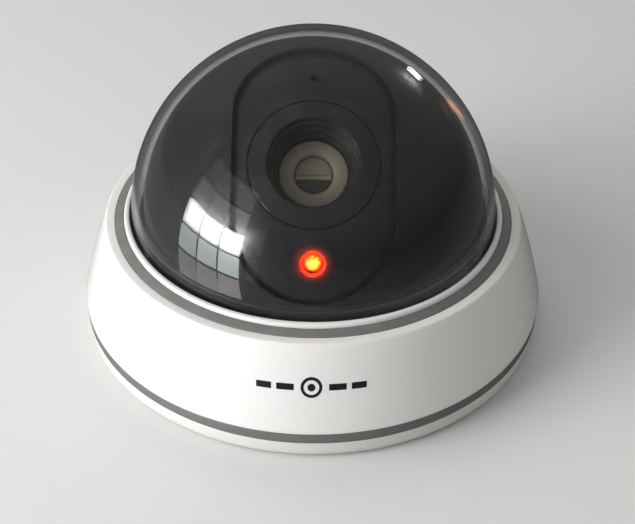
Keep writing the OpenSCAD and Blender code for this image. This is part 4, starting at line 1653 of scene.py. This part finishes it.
@dataclass
class Studio(SubAssembly):
    """Pale table and backdrop, window light from the left, and the camera."""

    eye: tuple[float, float, float] = (0.0, -0.28490, 0.23316)
    aim: tuple[float, float, float] = (0.0013, 0.0, 0.0128)
    roll: float = 0.79
    focal: float = 73.7
    soft: tuple[Panel, ...] = (
        Panel("key", (-74, 34, 0.9), (0.7, 0.6), 4.2, (1.0, 0.985, 0.965)),
        Panel("window", (-62, 12, 0.9), (0.5, 0.6), 8.0, (0.98, 0.99, 1.0)),
        Panel("back", (195, 48, 1.6), (1.2, 0.8), 3.6, (1.0, 0.99, 0.97)),
    )
    pane: Point = (0.2, 0.185)
    pane_rows: tuple[tuple[float, float, Colour], ...] = (
        (-22, 0.25, (1.0, 0.97, 0.94)), (-9, 0.6, (0.88, 1.0, 0.97)),
        (4, 1.4, (0.97, 0.97, 1.0)), (17, 0.08, (0.9, 0.95, 0.95)), (30, 0.03, (0.9, 0.95, 0.95)),
    )
    sharp: tuple[Panel, ...] = (
        Panel("strip_low", (-34, -8, 0.9), (0.1, 0.2), 0.03, (0.9, 1.0, 0.97)),
        Panel("strip_high", (-33, 9, 0.9), (0.12, 0.24), 0.02, (0.9, 0.95, 0.93)),
        Panel("glint", (150, 12, 1.0), (0.09, 0.04), 0.14, (1.0, 0.98, 0.94)),
        Panel("ember", (143, -3, 1.0), (0.06, 0.12), 0.05, (1.0, 0.25, 0.04)),
    )

    def build(self) -> None:
        """Lays the table, hangs the lights and sets the camera."""
        self.table()
        self.lights()
        self.camera()

    def table(self) -> None:
        """Adds a wide table with a slight sheen."""
        Bench.clear()
        bpy.ops.mesh.primitive_grid_add(x_subdivisions=8, y_subdivisions=8, size=6)
        table = Bench.named("table")
        self.dress(table, TABLE)
        table.visible_glossy = False

    def lights(self) -> None:
        """Adds the room's light, the soft lights and the ones that show in reflections."""
        world = bpy.data.worlds.new("room")
        bpy.context.scene.world = world
        world.use_nodes = True
        graph = Graph(world.node_tree)
        sky = graph.add("Background", Color=(0.98, 0.98, 0.96, 1))
        way = graph.add("SeparateXYZ", Vector=graph.add("TexCoord").outputs["Generated"])
        dim = graph.sum_up("MULTIPLY_ADD", graph.step(way.outputs[2], -0.2, 0.6), 0.09, 0.05)
        change = graph.sum_up("SUBTRACT", dim, 0.4)
        graph.feed(sky, 1, graph.sum_up("MULTIPLY_ADD", mirrored(graph), change, 0.4))
        graph.feed(graph.add("OutputWorld"), 0, sky.outputs[0])
        for plan in self.soft:
            self.hang(plan, False)
        for row, (rise, share, tint) in enumerate(self.pane_rows):
            for column in range(3):
                place = (-76 + column * 14, rise, 0.9)
                power = share * (0.9 + 0.35 * column)
                self.hang(Panel(f"pane_{row}_{column}", place, self.pane, power, tint), True)
        for plan in self.sharp:
            self.hang(plan, True)

    @staticmethod
    def hang(plan: Panel, sharp: bool) -> None:
        """Adds a light panel.

        Args:
            plan: Its name, place, size, power and colour.
            sharp: Whether it shows in reflections and lights no surface, or the reverse.
        """
        light = bpy.data.lights.new(plan.name, "AREA")
        light.shape = "RECTANGLE"
        light.size, light.size_y = plan.size
        light.energy = plan.power
        light.color = plan.colour
        lamp = bpy.data.objects.new(plan.name, light)
        heading, level = (math.radians(angle) for angle in plan.place[:2])
        flat = math.cos(level)
        way = Vector((math.sin(heading) * flat, -math.cos(heading) * flat, math.sin(level)))
        lamp.location = BALL + way * plan.place[2]
        lamp.rotation_euler = way.to_track_quat("Z", "Y").to_euler()
        lamp.visible_camera = False
        lamp.visible_glossy = lamp.visible_transmission = sharp
        lamp.visible_diffuse = not sharp
        bpy.context.scene.collection.objects.link(lamp)

    def camera(self) -> None:
        """Sets the camera at its place, with a slight roll."""
        data = bpy.data.cameras.new("eye")
        data.lens = self.focal
        data.sensor_width = 36
        data.clip_start = 0.01
        eye = bpy.data.objects.new("eye", data)
        place = Vector(self.eye)
        look = (Vector(self.aim) - place).to_track_quat("-Z", "Y")
        turn = look @ Quaternion((0, 0, 1), math.radians(self.roll))
        eye.location = place
        eye.rotation_euler = turn.to_euler()
        bpy.context.scene.collection.objects.link(eye)
        bpy.context.scene.camera = eye
        bpy.context.scene.view_settings.view_transform = "Standard"


def main() -> None:
    """Builds every sub-assembly."""
    logging.basicConfig(level=logging.INFO, format="%(name)s %(message)s")
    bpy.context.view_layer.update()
    shelf = MaterialShelf()
    for kind in (MountingPlate, Cover, ClearDome, Inside, Screws, PanHead, Liner, TiltHead, Studio):
        kind(shelf).build()


if __name__ == "__main__":
    main()
